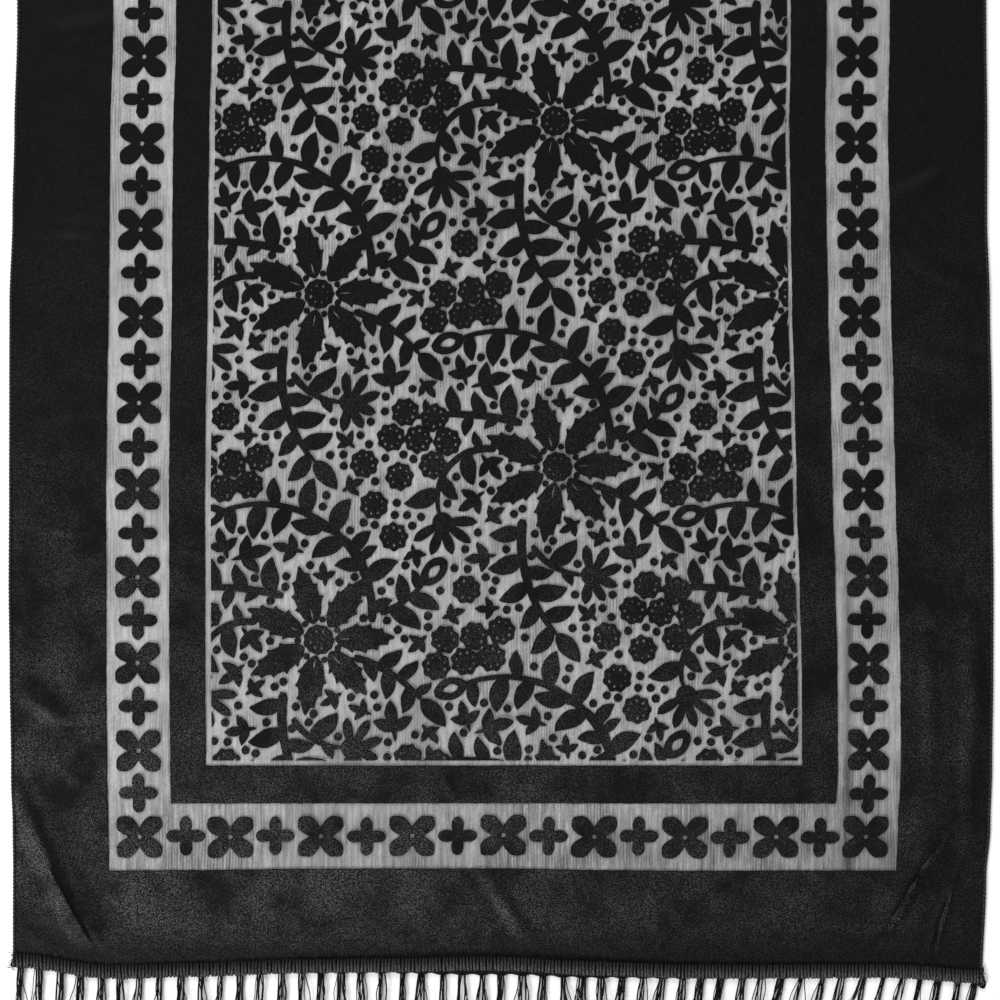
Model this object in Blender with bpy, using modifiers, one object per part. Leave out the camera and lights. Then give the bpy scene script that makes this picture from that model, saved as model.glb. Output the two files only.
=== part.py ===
"""Evening stole: one length of burnt-out velvet laid flat, with a fringed braid sewn over each end.

Metres, +Z up, +X across the stole and +Y along it, origin under its middle on the surface it lies on.
The cloth is one closed wall. Its top is drawn flat in the cut's own sizes (s across, t along), the
velvet pile is raised from the sheer ground, and every point is then moved to where the laid cloth
lies: `lay` gives the slight bow of its edges and `lift` the height of its folds.
"""

import math
import random
from collections import namedtuple

import bmesh
import bpy
from mathutils import Vector
from mathutils.geometry import delaunay_2d_cdt

# ---------------------------------------------------------------- the cut, in metres
WIDTH = 0.560
LENGTH = 1.640
GROUND = 0.0010          # sheer ground, with the base of the pile
PILE = 0.0020            # where the velvet pile stands
HEM = 0.0025             # rolled long edge
HEM_WIDTH = 0.0022
PRESSED = 0.0065         # cut end under the braid, with its pile pressed flat
STEPS_ACROSS = 16        # of the cut's outline
STEPS_ALONG = 30
ON_THE_LINE = 0.000001   # a point this near a line lies on it
SAME_POINT = 0.00001     # points this near each other become one

SIDE_MARGIN, SIDE_BAND, SIDE_FRAME = 0.055, 0.036, 0.0205
END_MARGIN, END_BAND, END_FRAME = 0.057, 0.038, 0.0217

# ---------------------------------------------------------------- motifs
QUATREFOILS_ACROSS = 8   # steps between the two corner motifs
QUATREFOILS_ALONG = 30
BROAD_CORNER = 0.0166    # quatrefoil with broad petals on its diagonals
BROAD_SHOULDER = 0.0129
BROAD_HALF_ANGLE = math.radians(23)
BROAD_NOTCH = 0.0066
POINTED_PETAL = 0.0118   # quatrefoil with pointed petals on its axes
POINTED_NOTCH = 0.0053

FLOWER_PETALS = 7
FLOWER_TIP = 0.0415
FLOWER_SHOULDER = 0.0250
FLOWER_HALF_ANGLE = math.radians(15.5)
FLOWER_NOTCH = 0.0098
FLOWER_TURN = math.radians(2)
FIRST_FLOWER = (-0.1042, -0.6314)
COLUMN_PITCH = 0.1366
REPEAT = 0.1978          # along the cloth, every second column half a repeat on
COLUMNS = 3
ROWS = 7
PATTERN_GAP = 0.0029     # sheer gap between the inner frame and the cut edge of the flowers

# ---------------------------------------------------------------- fringe
BRAID_WIDTH = 0.0080
BRAID_THICKNESS = 0.0016
BRAID_OVERLAP = 0.0050   # of the braid on the cloth
BRAID_SHORT = 0.0020     # how much shorter the braid is than the cloth is wide
SEAM_GAP = 0.0003
BRAID_STEPS = 32
BUNDLES = 49
FIRST_BUNDLE = 0.0043    # from the cloth's edge to the middle of the first bundle
LOCKS = 2                # in each bundle
LOCK_SPACING = 0.0024
LOCK_RADIUS = 0.0008
LOCK_LENGTH = 0.0920
LENGTH_VARIES = 0.0030
LOCK_ROOT = 0.0030       # length of a lock inside the braid
LOCK_DROP = 0.0120       # over which it comes down to the surface
LOCK_SPREAD = 0.0010     # how much a bundle opens towards its tips
FLOOR_GAP = 0.0004
LEAN_LEFT = -0.02        # sideways lean of the fringe, for each metre of its length
LEAN_MORE = -0.20        # added on the right half, which lies down to the left
LEAN_FROM, LEAN_TO = -0.05, 0.20
LEAN_VARIES = 0.012

VELVET_BLACK = (0.011, 0.010, 0.012, 1.0)
YARN_BLACK = (0.016, 0.015, 0.018, 1.0)

# How far each long edge lies in (+) or out (-) from the cut's straight line, along the cloth.
Side = namedtuple("Side", "along left_in right_in")
SIDES = [
    Side(-0.820, 0.0012, 0.0046), Side(-0.770, 0.0020, 0.0031), Side(-0.720, 0.0004, -0.0009),
    Side(-0.600, -0.0009, -0.0014), Side(-0.500, -0.0009, -0.0009), Side(-0.400, -0.0006, 0.0009),
    Side(-0.330, 0.0014, 0.0020), Side(-0.266, 0.0037, 0.0031), Side(-0.150, 0.0040, 0.0036),
    Side(0.000, 0.0012, 0.0018), Side(0.180, -0.0011, 0.0004), Side(0.360, 0.0006, -0.0012),
    Side(0.540, 0.0026, 0.0006), Side(0.700, 0.0002, -0.0008), Side(0.820, 0.0030, 0.0016),
]

# How far each cut end wanders along the cloth (+ is towards +Y), across its width.
End = namedtuple("End", "across near far")
ENDS = [
    End(-0.280, 0.0046, 0.0010), End(-0.222, -0.0009, 0.0024), End(-0.177, -0.0003, 0.0008),
    End(-0.115, 0.0014, -0.0009), End(-0.057, 0.0017, -0.0014), End(0.000, 0.0017, 0.0002),
    End(0.057, -0.0003, 0.0015), End(0.114, -0.0011, 0.0011), End(0.217, -0.0006, -0.0006),
    End(0.280, -0.0046, -0.0032),
]
END_REACH = 0.110        # length of cloth over which an end's wander fades out

# Soft folds that stand up from the surface: from (s, t) to (s, t), height, and half width.
Fold = namedtuple("Fold", "s0 t0 s1 t1 high half")
FOLDS = [
    # near end, left corner
    Fold(-0.276, -0.722, -0.230, -0.812, 0.0042, 0.015),
    Fold(-0.254, -0.762, -0.222, -0.812, 0.0020, 0.010),
    # near end, right corner
    Fold(0.266, -0.706, 0.214, -0.810, 0.0046, 0.014),
    Fold(0.277, -0.722, 0.244, -0.811, 0.0038, 0.011),
    # near end, middle
    Fold(-0.016, -0.760, 0.020, -0.811, 0.0020, 0.011),
    # left margin, upwards
    Fold(-0.277, -0.655, -0.244, -0.682, 0.0022, 0.010),
    Fold(-0.266, -0.507, -0.222, -0.493, 0.0018, 0.009),
    Fold(-0.268, -0.394, -0.222, -0.397, 0.0015, 0.008),
    Fold(-0.268, -0.286, -0.220, -0.279, 0.0019, 0.010),
    # right margin, upwards
    Fold(0.266, -0.606, 0.272, -0.702, 0.0024, 0.009),
    Fold(0.228, -0.618, 0.272, -0.614, 0.0016, 0.009),
    Fold(0.227, -0.467, 0.275, -0.474, 0.0019, 0.009),
    Fold(0.232, -0.414, 0.274, -0.428, 0.0021, 0.009),
    Fold(0.222, -0.382, 0.257, -0.366, 0.0017, 0.009),
    # field
    Fold(-0.030, -0.688, 0.022, -0.664, 0.0014, 0.012),
    # on towards the far end
    Fold(-0.274, -0.175, -0.226, -0.160, 0.0022, 0.010),
    Fold(0.224, -0.245, 0.272, -0.232, 0.0020, 0.010),
    Fold(0.236, -0.080, 0.276, -0.098, 0.0017, 0.009),
    Fold(-0.272, -0.020, -0.224, -0.034, 0.0018, 0.009),
    Fold(-0.060, 0.050, 0.045, 0.075, 0.0016, 0.013),
    Fold(0.226, 0.110, 0.274, 0.121, 0.0022, 0.010),
    Fold(-0.270, 0.190, -0.228, 0.176, 0.0020, 0.009),
    Fold(0.268, 0.300, 0.271, 0.395, 0.0021, 0.009),
    Fold(-0.272, 0.430, -0.226, 0.446, 0.0018, 0.010),
    Fold(0.225, 0.520, 0.270, 0.508, 0.0019, 0.009),
    Fold(-0.275, 0.600, -0.240, 0.628, 0.0022, 0.010),
    # far corners
    Fold(-0.274, 0.716, -0.226, 0.810, 0.0044, 0.014),
    Fold(0.272, 0.728, 0.232, 0.811, 0.0036, 0.013),
]
FOLD_END = (0.798, 0.811)  # folds die out between these distances from the middle, short of the braid
FOLD_STEP = 0.027        # between the stations that shape a fold
HIGH_FOLD = 0.0030       # a fold this high has five points across, a lower one three
CLEAR_OF_LINES = 0.0016  # points that shape a fold stay this far from every outline


def ease(start, stop, value):
    """0 before start, 1 after stop, and smooth between them."""
    u = min(max((value - start) / (stop - start), 0.0), 1.0)
    return u * u * (3.0 - 2.0 * u)


def between(rows, column, place):
    """A column of a short table at a place given in its first column, eased from row to row."""
    if place <= rows[0][0]:
        return getattr(rows[0], column)
    for low, high in zip(rows, rows[1:]):
        if place <= high[0]:
            u = ease(low[0], high[0], place)
            return getattr(low, column) * (1.0 - u) + getattr(high, column) * u
    return getattr(rows[-1], column)


def lay(s, t):
    """Where a point of the flat cut lies, seen from above."""
    field_wide = WIDTH - 2.0 * (SIDE_MARGIN + SIDE_BAND + SIDE_FRAME)
    right = min(max(s / field_wide + 0.5, 0.0), 1.0)
    x = s + (1.0 - right) * between(SIDES, "left_in", t) - right * between(SIDES, "right_in", t)
    near = 1.0 - ease(-LENGTH / 2.0, -LENGTH / 2.0 + END_REACH, t)
    far = ease(LENGTH / 2.0 - END_REACH, LENGTH / 2.0, t)
    y = t + near * between(ENDS, "near", s) + far * between(ENDS, "far", s)
    return x, y


def lift(s, t):
    """How far the folds hold the cloth off the surface."""
    high = 0.0
    for fold in FOLDS:
        ds, dt = fold.s1 - fold.s0, fold.t1 - fold.t0
        long = math.hypot(ds, dt)
        u = ((s - fold.s0) * ds + (t - fold.t0) * dt) / long ** 2
        off = abs((s - fold.s0) * dt - (t - fold.t0) * ds) / long / fold.half
        if 0.0 < u < 1.0 and off < 1.0:
            high += fold.high * 4.0 * u * (1.0 - u) * (1.0 - off ** 2) ** 2
    return high * (1.0 - ease(*FOLD_END, abs(t)))


# ---------------------------------------------------------------- outlines, flat
def rectangle(half_wide, half_long, steps_across=1, steps_along=1):
    """Points round a centred rectangle, from its near left corner, with equal steps on each side."""
    signs = ((-1, -1), (1, -1), (1, 1), (-1, 1))
    corners = [(half_wide * right, half_long * far) for right, far in signs]
    sides = zip(corners, corners[1:] + corners[:1], (steps_across, steps_along) * 2)
    points = []
    for (s0, t0), (s1, t1), count in sides:
        points += [(s0 + (s1 - s0) * i / count, t0 + (t1 - t0) * i / count) for i in range(count)]
    return points


def polar(centre, rays):
    """Points at (angle, radius) pairs round a centre."""
    return [(centre[0] + r * math.cos(a), centre[1] + r * math.sin(a)) for a, r in rays]


def broad_quatrefoil(centre):
    rays = []
    for petal in range(4):
        middle = math.radians(45 + 90 * petal)
        rays.append((middle - math.radians(45), BROAD_NOTCH))
        rays.append((middle - BROAD_HALF_ANGLE, BROAD_SHOULDER))
        rays.append((middle, BROAD_CORNER))
        rays.append((middle + BROAD_HALF_ANGLE, BROAD_SHOULDER))
    return polar(centre, rays)


def pointed_quatrefoil(centre):
    rays = []
    for petal in range(4):
        middle = math.radians(90 * petal)
        rays += [(middle - math.radians(45), POINTED_NOTCH), (middle, POINTED_PETAL)]
    return polar(centre, rays)


def flower(centre):
    rays = []
    for petal in range(FLOWER_PETALS):
        middle = FLOWER_TURN + math.tau * petal / FLOWER_PETALS
        rays.append((middle - math.pi / FLOWER_PETALS, FLOWER_NOTCH))
        rays.append((middle - FLOWER_HALF_ANGLE, FLOWER_SHOULDER))
        rays.append((middle, FLOWER_TIP))
        rays.append((middle + FLOWER_HALF_ANGLE, FLOWER_SHOULDER))
    return polar(centre, rays)


def border_places():
    """Centres of the broad and of the pointed quatrefoils, all round the border."""
    side = WIDTH / 2.0 - SIDE_MARGIN - SIDE_BAND / 2.0
    end = LENGTH / 2.0 - END_MARGIN - END_BAND / 2.0
    broad, pointed = [], []
    for half_step in range(2 * QUATREFOILS_ACROSS + 1):
        s = -side + side * half_step / QUATREFOILS_ACROSS
        row = pointed if half_step % 2 else broad
        row += [(s, -end), (s, end)]
    for half_step in range(1, 2 * QUATREFOILS_ALONG):
        t = -end + end * half_step / QUATREFOILS_ALONG
        row = pointed if half_step % 2 else broad
        row += [(-side, t), (side, t)]
    return broad, pointed


def flower_places():
    """Centres of the large flowers, in columns that step half a repeat."""
    for column in range(COLUMNS):
        half_drop = REPEAT / 2.0 if column % 2 else 0.0
        for row in range(ROWS):
            yield FIRST_FLOWER[0] + column * COLUMN_PITCH, FIRST_FLOWER[1] + half_drop + row * REPEAT


def fold_points():
    """Points on each fold's crest, flanks and foot."""
    points = []
    for fold in FOLDS:
        ds, dt = fold.s1 - fold.s0, fold.t1 - fold.t0
        long = math.hypot(ds, dt)
        count = max(3, round(long / FOLD_STEP))
        across = (-1.0, -0.5, 0.0, 0.5, 1.0) if fold.high >= HIGH_FOLD else (-1.0, 0.0, 1.0)
        for i in range(count + 1):
            u = i / count
            for off in across if 0 < i < count else (0.0,):
                reach = off * fold.half / long
                points.append((fold.s0 + ds * u - dt * reach, fold.t0 + dt * u + ds * reach))
    inside_s, inside_t = WIDTH / 2.0 - 2.0 * HEM_WIDTH, LENGTH / 2.0 - PRESSED - HEM_WIDTH
    return [p for p in points if abs(p[0]) < inside_s and abs(p[1]) < inside_t]


def clear_of(points, loops, gap):
    """The points that lie at least a gap away from every line of the loops."""
    kept = []
    for p in points:
        p = Vector(p)
        near = False
        for loop in loops:
            for a, b in zip(loop, loop[1:] + loop[:1]):
                a, b = Vector(a), Vector(b)
                u = min(max((p - a).dot(b - a) / (b - a).length_squared, 0.0), 1.0)
                near = near or (a.lerp(b, u) - p).length < gap
        if not near:
            kept.append(tuple(p))
    return kept


def triangulate(loops, loose):
    """Triangles over all the loops and loose points, and for each one the loops that it lies in."""
    points, faces = [], []
    for loop in loops:
        faces.append(list(range(len(points), len(points) + len(loop))))
        points += [Vector(p) for p in loop]
    points += [Vector(p) for p in loose]
    found = delaunay_2d_cdt(points, [], faces, 0, 1e-7, True)
    return found[0], found[2], found[5]


# ---------------------------------------------------------------- cloth
def cloth_edge():
    """The cut's outline, with points where the hems and the pressed ends meet it."""
    half_wide, half_long = WIDTH / 2.0, LENGTH / 2.0
    edge = rectangle(half_wide, half_long, STEPS_ACROSS, STEPS_ALONG)
    extra = [(sign * (half_wide - HEM_WIDTH), end) for sign in (-1, 1) for end in (-half_long, half_long)]
    extra += [(side, sign * (half_long - PRESSED)) for sign in (-1, 1) for side in (-half_wide, half_wide)]

    def round_the_edge(p):
        s, t = p
        if abs(t + half_long) < ON_THE_LINE:
            return s + half_wide
        if abs(s - half_wide) < ON_THE_LINE:
            return WIDTH + t + half_long
        if abs(t - half_long) < ON_THE_LINE:
            return WIDTH + LENGTH + half_wide - s
        return 2.0 * WIDTH + LENGTH + half_long - t

    return sorted(edge + extra, key=round_the_edge)


def cloth_mesh():
    """The cloth's closed wall: a top with its pile raised, a plain underside, and the rim between."""
    half_wide, half_long = WIDTH / 2.0, LENGTH / 2.0
    across, along = SIDE_MARGIN, END_MARGIN
    band = rectangle(half_wide - across, half_long - along, STEPS_ACROSS // 2, STEPS_ALONG // 2)
    across, along = across + SIDE_BAND, along + END_BAND
    frame = rectangle(half_wide - across, half_long - along, STEPS_ACROSS // 2, STEPS_ALONG // 2)
    across, along = across + SIDE_FRAME, along + END_FRAME
    field = rectangle(half_wide - across, half_long - along, STEPS_ACROSS // 2, STEPS_ALONG // 2)
    pattern = rectangle(half_wide - across - PATTERN_GAP, half_long - along - PATTERN_GAP,
                        STEPS_ACROSS // 2, STEPS_ALONG // 2)
    edge = cloth_edge()
    pressed = rectangle(half_wide, half_long - PRESSED, STEPS_ACROSS)
    hemmed = rectangle(half_wide - HEM_WIDTH, half_long, 1, STEPS_ALONG)
    broad, pointed = border_places()
    quatrefoils = [broad_quatrefoil(c) for c in broad] + [pointed_quatrefoil(c) for c in pointed]
    flowers = [flower(c) for c in flower_places()]
    loops = [edge, pressed, hemmed, band, frame, field, pattern] + quatrefoils + flowers
    EDGE, PRESS, HEMMED, BAND, FRAME, FIELD, PATTERN = range(7)
    first_flower = PATTERN + 1 + len(quatrefoils)

    def has_pile(inside):
        if PRESS not in inside:
            return False
        if BAND not in inside or (FRAME in inside and FIELD not in inside):
            return True
        if FIELD in inside:
            return PATTERN in inside and max(inside) >= first_flower
        return max(inside) > PATTERN

    shaping = fold_points()
    top, triangles, inside = triangulate(loops, clear_of(shaping, loops[HEMMED:], CLEAR_OF_LINES))
    mesh = bmesh.new()
    above = [mesh.verts.new((p.x, p.y, GROUND)) for p in top]
    raised = []
    for triangle, loops_round in zip(triangles, inside):
        if EDGE in loops_round:
            face = mesh.faces.new([above[i] for i in triangle])
            if has_pile(set(loops_round)):
                raised.append(face)
    lifted = bmesh.ops.extrude_face_region(mesh, geom=raised)["geom"]
    bmesh.ops.delete(mesh, geom=raised, context="FACES_ONLY")
    for item in lifted:
        if isinstance(item, bmesh.types.BMVert):
            at_edge = abs(item.co.x) > half_wide - SAME_POINT
            item.co.z = HEM if at_edge else PILE
    bmesh.ops.delete(mesh, geom=[v for v in mesh.verts if not v.link_faces], context="VERTS")

    rim = [e for e in mesh.edges if e.is_boundary]
    for item in bmesh.ops.extrude_edge_only(mesh, edges=rim)["geom"]:
        if isinstance(item, bmesh.types.BMVert):
            item.co.z = 0.0
    flat_ends = [p for p in pressed if abs(p[0]) < half_wide - HEM_WIDTH]
    floor, triangles, inside = triangulate([edge], shaping + flat_ends)
    below = [mesh.verts.new((p.x, p.y, 0.0)) for p in floor]
    for triangle in triangles:
        mesh.faces.new([below[i] for i in reversed(triangle)])
    bmesh.ops.remove_doubles(mesh, verts=mesh.verts, dist=SAME_POINT)
    for vert in mesh.verts:
        s, t, high = vert.co
        x, y = lay(s, t)
        vert.co = (x, y, high + lift(s, t))
    bmesh.ops.recalc_face_normals(mesh, faces=mesh.faces)
    return mesh


# ---------------------------------------------------------------- braid and fringe
def slant(s):
    """Sideways lean of the near fringe where it hangs from the braid at s."""
    return LEAN_LEFT + LEAN_MORE * ease(LEAN_FROM, LEAN_TO, s)


def braid(name, sign, collection):
    """The ribbed braid that holds the yarns, as a plain strip sewn over the cut end."""
    mesh = bmesh.new()
    bmesh.ops.create_grid(mesh, x_segments=BRAID_STEPS, y_segments=1, size=0.5)
    for vert in mesh.verts:
        s = vert.co.x * (WIDTH - BRAID_SHORT)
        x, y = lay(s, sign * LENGTH / 2.0)
        out = BRAID_WIDTH - BRAID_OVERLAP
        y += sign * (out - BRAID_WIDTH * (0.5 + vert.co.y))
        vert.co = (x, y, GROUND + SEAM_GAP)
    bmesh.ops.recalc_face_normals(mesh, faces=mesh.faces)
    if mesh.faces[:][0].normal.z < 0:
        bmesh.ops.reverse_faces(mesh, faces=mesh.faces)
    strip = new_object(name, mesh, collection)
    solid = strip.modifiers.new("Thickness", "SOLIDIFY")
    solid.thickness = BRAID_THICKNESS
    solid.offset = 1.0
    return strip


def locks(name, sign, collection):
    """All the locks of one fringe: out of the braid, down to the surface and along it."""
    curve = bpy.data.curves.new(name, "CURVE")
    curve.dimensions = "3D"
    curve.bevel_depth = LOCK_RADIUS
    curve.bevel_resolution = 0
    curve.use_fill_caps = True
    uneven = random.Random(7 if sign < 0 else 8)
    first = -WIDTH / 2.0 + FIRST_BUNDLE
    pitch = -2.0 * first / (BUNDLES - 1)
    out = BRAID_WIDTH - BRAID_OVERLAP
    low = FLOOR_GAP + LOCK_RADIUS
    for bundle in range(BUNDLES):
        middle = first + bundle * pitch
        lean = -sign * slant(-sign * middle) + uneven.uniform(-LEAN_VARIES, LEAN_VARIES)
        for lock in range(LOCKS):
            side = lock - (LOCKS - 1) / 2.0
            x, y = lay(middle + side * LOCK_SPACING, sign * LENGTH / 2.0)
            reach = LOCK_LENGTH + uneven.uniform(-LENGTH_VARIES, LENGTH_VARIES)
            spread = 2.0 * side * LOCK_SPREAD
            route = [
                (x, y + sign * (out - LOCK_ROOT), GROUND + SEAM_GAP + BRAID_THICKNESS / 2.0),
                (x + lean * LOCK_DROP, y + sign * (out + LOCK_DROP), low),
                (x + lean * reach + spread, y + sign * (out + reach), low),
            ]
            spline = curve.splines.new("POLY")
            spline.points.add(len(route) - 1)
            for point, place in zip(spline.points, route):
                point.co = (*place, 1.0)
    guide = bpy.data.objects.new(name + "_route", curve)
    collection.objects.link(guide)
    view = bpy.context.evaluated_depsgraph_get()
    tubes = bpy.data.meshes.new_from_object(guide.evaluated_get(view))
    mesh = bmesh.new()
    mesh.from_mesh(tubes)
    bmesh.ops.remove_doubles(mesh, verts=mesh.verts, dist=SAME_POINT)
    bmesh.ops.recalc_face_normals(mesh, faces=mesh.faces)
    bpy.data.objects.remove(guide)
    joined = new_object(name, mesh, collection)
    joined.hide_render = True
    joined.display_type = "WIRE"
    return joined


def fringe(name, sign, collection, cutters):
    strip = braid(name, sign, collection)
    union = strip.modifiers.new("Locks", "BOOLEAN")
    union.operation = "UNION"
    union.solver = "EXACT"
    union.object = locks(name + "_locks", sign, cutters)
    return strip


# ---------------------------------------------------------------- scene
def new_object(name, mesh, collection):
    data = bpy.data.meshes.new(name)
    mesh.to_mesh(data)
    mesh.free()
    item = bpy.data.objects.new(name, data)
    collection.objects.link(item)
    return item


def new_collection(name):
    collection = bpy.data.collections.new(name)
    bpy.context.scene.collection.children.link(collection)
    return collection


def cloth_material(name, colour, roughness):
    material = bpy.data.materials.new(name)
    material.use_nodes = True
    shader = material.node_tree.nodes["Principled BSDF"]
    shader.inputs["Base Color"].default_value = colour
    shader.inputs["Roughness"].default_value = roughness
    shader.inputs["Metallic"].default_value = 0.0
    return material


def main():
    for item in list(bpy.data.objects):
        bpy.data.objects.remove(item, do_unlink=True)
    stole = new_collection("evening_stole")
    cutters = new_collection("cutters")
    velvet = cloth_material("burnt_out_velvet", VELVET_BLACK, 0.85)
    yarn = cloth_material("rayon_yarn", YARN_BLACK, 0.60)
    body = new_object("body", cloth_mesh(), stole)
    body.data.materials.append(velvet)
    for name, sign in (("fringe_near", -1), ("fringe_far", 1)):
        fringe(name, sign, stole, cutters).data.materials.append(yarn)


main()
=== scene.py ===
"""Evening stole, dressed: burnt-out velvet on a sheer ground, with ribbed braids and twisted fringes.

Metres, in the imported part's frame: +X across the stole, +Y along it, +Z up, lying on z = 0.
Flat things are first drawn in the cut's own sizes (s across, t along, and the height over the ground).
Then every point is moved to where the laid cloth lies: `lay` gives the slight bow of its edges and
`lift` the height of its folds and creases.
"""

import math
import random
from collections import namedtuple

import bmesh
import bpy
import numpy as np
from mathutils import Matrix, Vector
from mathutils.geometry import delaunay_2d_cdt


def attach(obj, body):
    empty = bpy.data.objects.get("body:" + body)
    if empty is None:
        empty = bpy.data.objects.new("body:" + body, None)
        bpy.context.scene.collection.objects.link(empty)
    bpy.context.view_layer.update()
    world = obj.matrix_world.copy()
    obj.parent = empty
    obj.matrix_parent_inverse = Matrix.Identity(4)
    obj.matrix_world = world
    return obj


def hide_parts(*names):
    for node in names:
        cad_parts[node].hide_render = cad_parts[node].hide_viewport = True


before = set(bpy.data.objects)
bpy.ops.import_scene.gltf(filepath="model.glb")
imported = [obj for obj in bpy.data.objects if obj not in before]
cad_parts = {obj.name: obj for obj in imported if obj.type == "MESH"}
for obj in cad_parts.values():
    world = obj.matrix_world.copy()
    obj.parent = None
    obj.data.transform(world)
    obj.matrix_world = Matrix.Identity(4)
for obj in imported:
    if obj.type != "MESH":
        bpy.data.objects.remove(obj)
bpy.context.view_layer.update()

MM = 0.001

# ---------------------------------------------------------------- the cut, in metres
WIDTH, LENGTH = 0.560, 1.640
SIDE_MARGIN, SIDE_BAND, SIDE_FRAME = 0.055, 0.036, 0.0205
END_MARGIN, END_BAND, END_FRAME = 0.057, 0.038, 0.0217
REST = 0.0005             # height of the sheer ground where it lies flat
ROOT = -0.0001            # the pile's foot, under the sheer ground
WALL = 0.0004             # up to where the pile's side stands straight
NAP = 0.0008              # top of the pile
SHOULDER = 0.00035        # how far in the pile's rounded edge reaches
UNEVEN_CUT = 0.00016      # how far the burnt edge wanders
FLOOR_GAP = 0.0001        # no piece comes nearer to the surface
GROUND_GAP = 0.0003       # nor the sheer ground nearer than this
GROUND_GRID = 0.0060
PILE_GRID = 0.0031        # between the points that shape a wide stretch of pile
FLOWER_GRID = 0.0060
STAGGER = 0.866           # between the rows of a staggered grid, as a share of its step
EDGE_STEP = 0.0026        # between points along the straight edges of the pile
CREASE_STEP = 0.0026
PILE_SHARP, YARN_SHARP = 28, 75     # degrees past which an edge of the mesh stays sharp

HEM_RADIUS = 0.00095
HEM_STEP = 0.0011         # half an overlock stitch
HEM_WRAP = 0.00016        # how far a stitch stands out
HEM_HEIGHT = 0.0006       # middle of the hem over the sheer ground
HEM_SHORT = 0.0012        # how far the hem stops short of the cut end

# ---------------------------------------------------------------- where the motifs stand
MOTIFS_ACROSS, MOTIFS_ALONG = 8, 30
MOTIF_SHIFT = 0.0005      # how far a border motif stands from its even place
FIRST_FLOWER = (-0.1042, -0.6314)
COLUMN_PITCH, REPEAT = 0.1366, 0.1978
COLUMNS = range(-1, 4)
ROWS = range(-1, 8)
PATTERN_GAP = (0.0034, 0.0023, 0.0029)  # left, right and end gaps between the frame and the flowers

# ---------------------------------------------------------------- fringe
RIB_PITCH = 0.00195
RIB_RADIUS = 0.00098
BUNDLES = 49
FIRST_BUNDLE = 0.0043
YARN_LENGTH = 0.0920
YARN_RADIUS = 0.00043
YARN_STEP = 0.0031
YARN_OUT, YARN_EXIT = 0.0018, 0.0022    # how far out and how high the yarns leave the braid
YARN_PITCH = 0.0014
YARN_HIDDEN = 0.003       # length of yarn under the braid
YARN_SPREAD = 0.030       # stretch over which the yarns of a bundle part
YARN_DROP = (0.012, 0.050)    # stretch over which the yarns come down to the surface
TWIST_PITCH = 0.0021
LEAN_LEFT, LEAN_MORE, LEAN_FROM, LEAN_TO = -0.02, -0.20, -0.05, 0.20    # how the yarns lean, across

# How far the long edges, and the frames inside them, lie from the cut's lines (+ is towards +X).
Side = namedtuple("Side", "along left_edge left_frame right_frame right_edge")
SIDES = [Side(*row) for row in (
    (-0.820, 0.0012, 0.0010, 0.0004, -0.0046), (-0.765, 0.0013, 0.0010, 0.0010, -0.0024),
    (-0.738, 0.0010, 0.0007, 0.0022, 0.0000), (-0.705, 0.0001, 0.0000, 0.0039, 0.0010),
    (-0.650, -0.0007, -0.0005, 0.0037, 0.0017), (-0.600, -0.0013, -0.0005, 0.0025, 0.0019),
    (-0.550, -0.0010, -0.0007, 0.0009, 0.0014), (-0.500, -0.0009, -0.0002, -0.0001, 0.0009),
    (-0.440, -0.0008, 0.0009, -0.0017, -0.0002), (-0.389, 0.0009, 0.0013, -0.0025, -0.0018),
    (-0.340, 0.0020, 0.0018, -0.0034, -0.0017), (-0.281, 0.0036, 0.0034, -0.0025, -0.0023),
    (-0.150, 0.0040, 0.0036, -0.0036, -0.0036), (0.000, 0.0012, 0.0016, -0.0018, -0.0018),
    (0.180, -0.0011, -0.0004, -0.0010, -0.0004), (0.360, 0.0006, 0.0012, 0.0016, 0.0012),
    (0.540, 0.0026, 0.0018, 0.0002, -0.0006), (0.700, 0.0002, 0.0006, 0.0014, 0.0008),
    (0.820, 0.0030, 0.0018, -0.0010, -0.0016),
)]

# How far each cut end wanders along the cloth (+ is towards +Y), across its width.
End = namedtuple("End", "across near far")
ENDS = [End(*row) for row in (
    (-0.280, 0.0046, 0.0010), (-0.222, -0.0009, 0.0024), (-0.177, -0.0003, 0.0008),
    (-0.115, 0.0014, -0.0009), (-0.057, 0.0017, -0.0014), (0.000, 0.0017, 0.0002),
    (0.057, -0.0003, 0.0015), (0.114, -0.0011, 0.0011), (0.217, -0.0006, -0.0006),
    (0.280, -0.0046, -0.0032),
)]
END_REACH = 0.110

# Folds and creases, in millimetres: from (s, t) to (s, t), height, and half width.
Fold = namedtuple("Fold", "s0 t0 s1 t1 high half")
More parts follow.
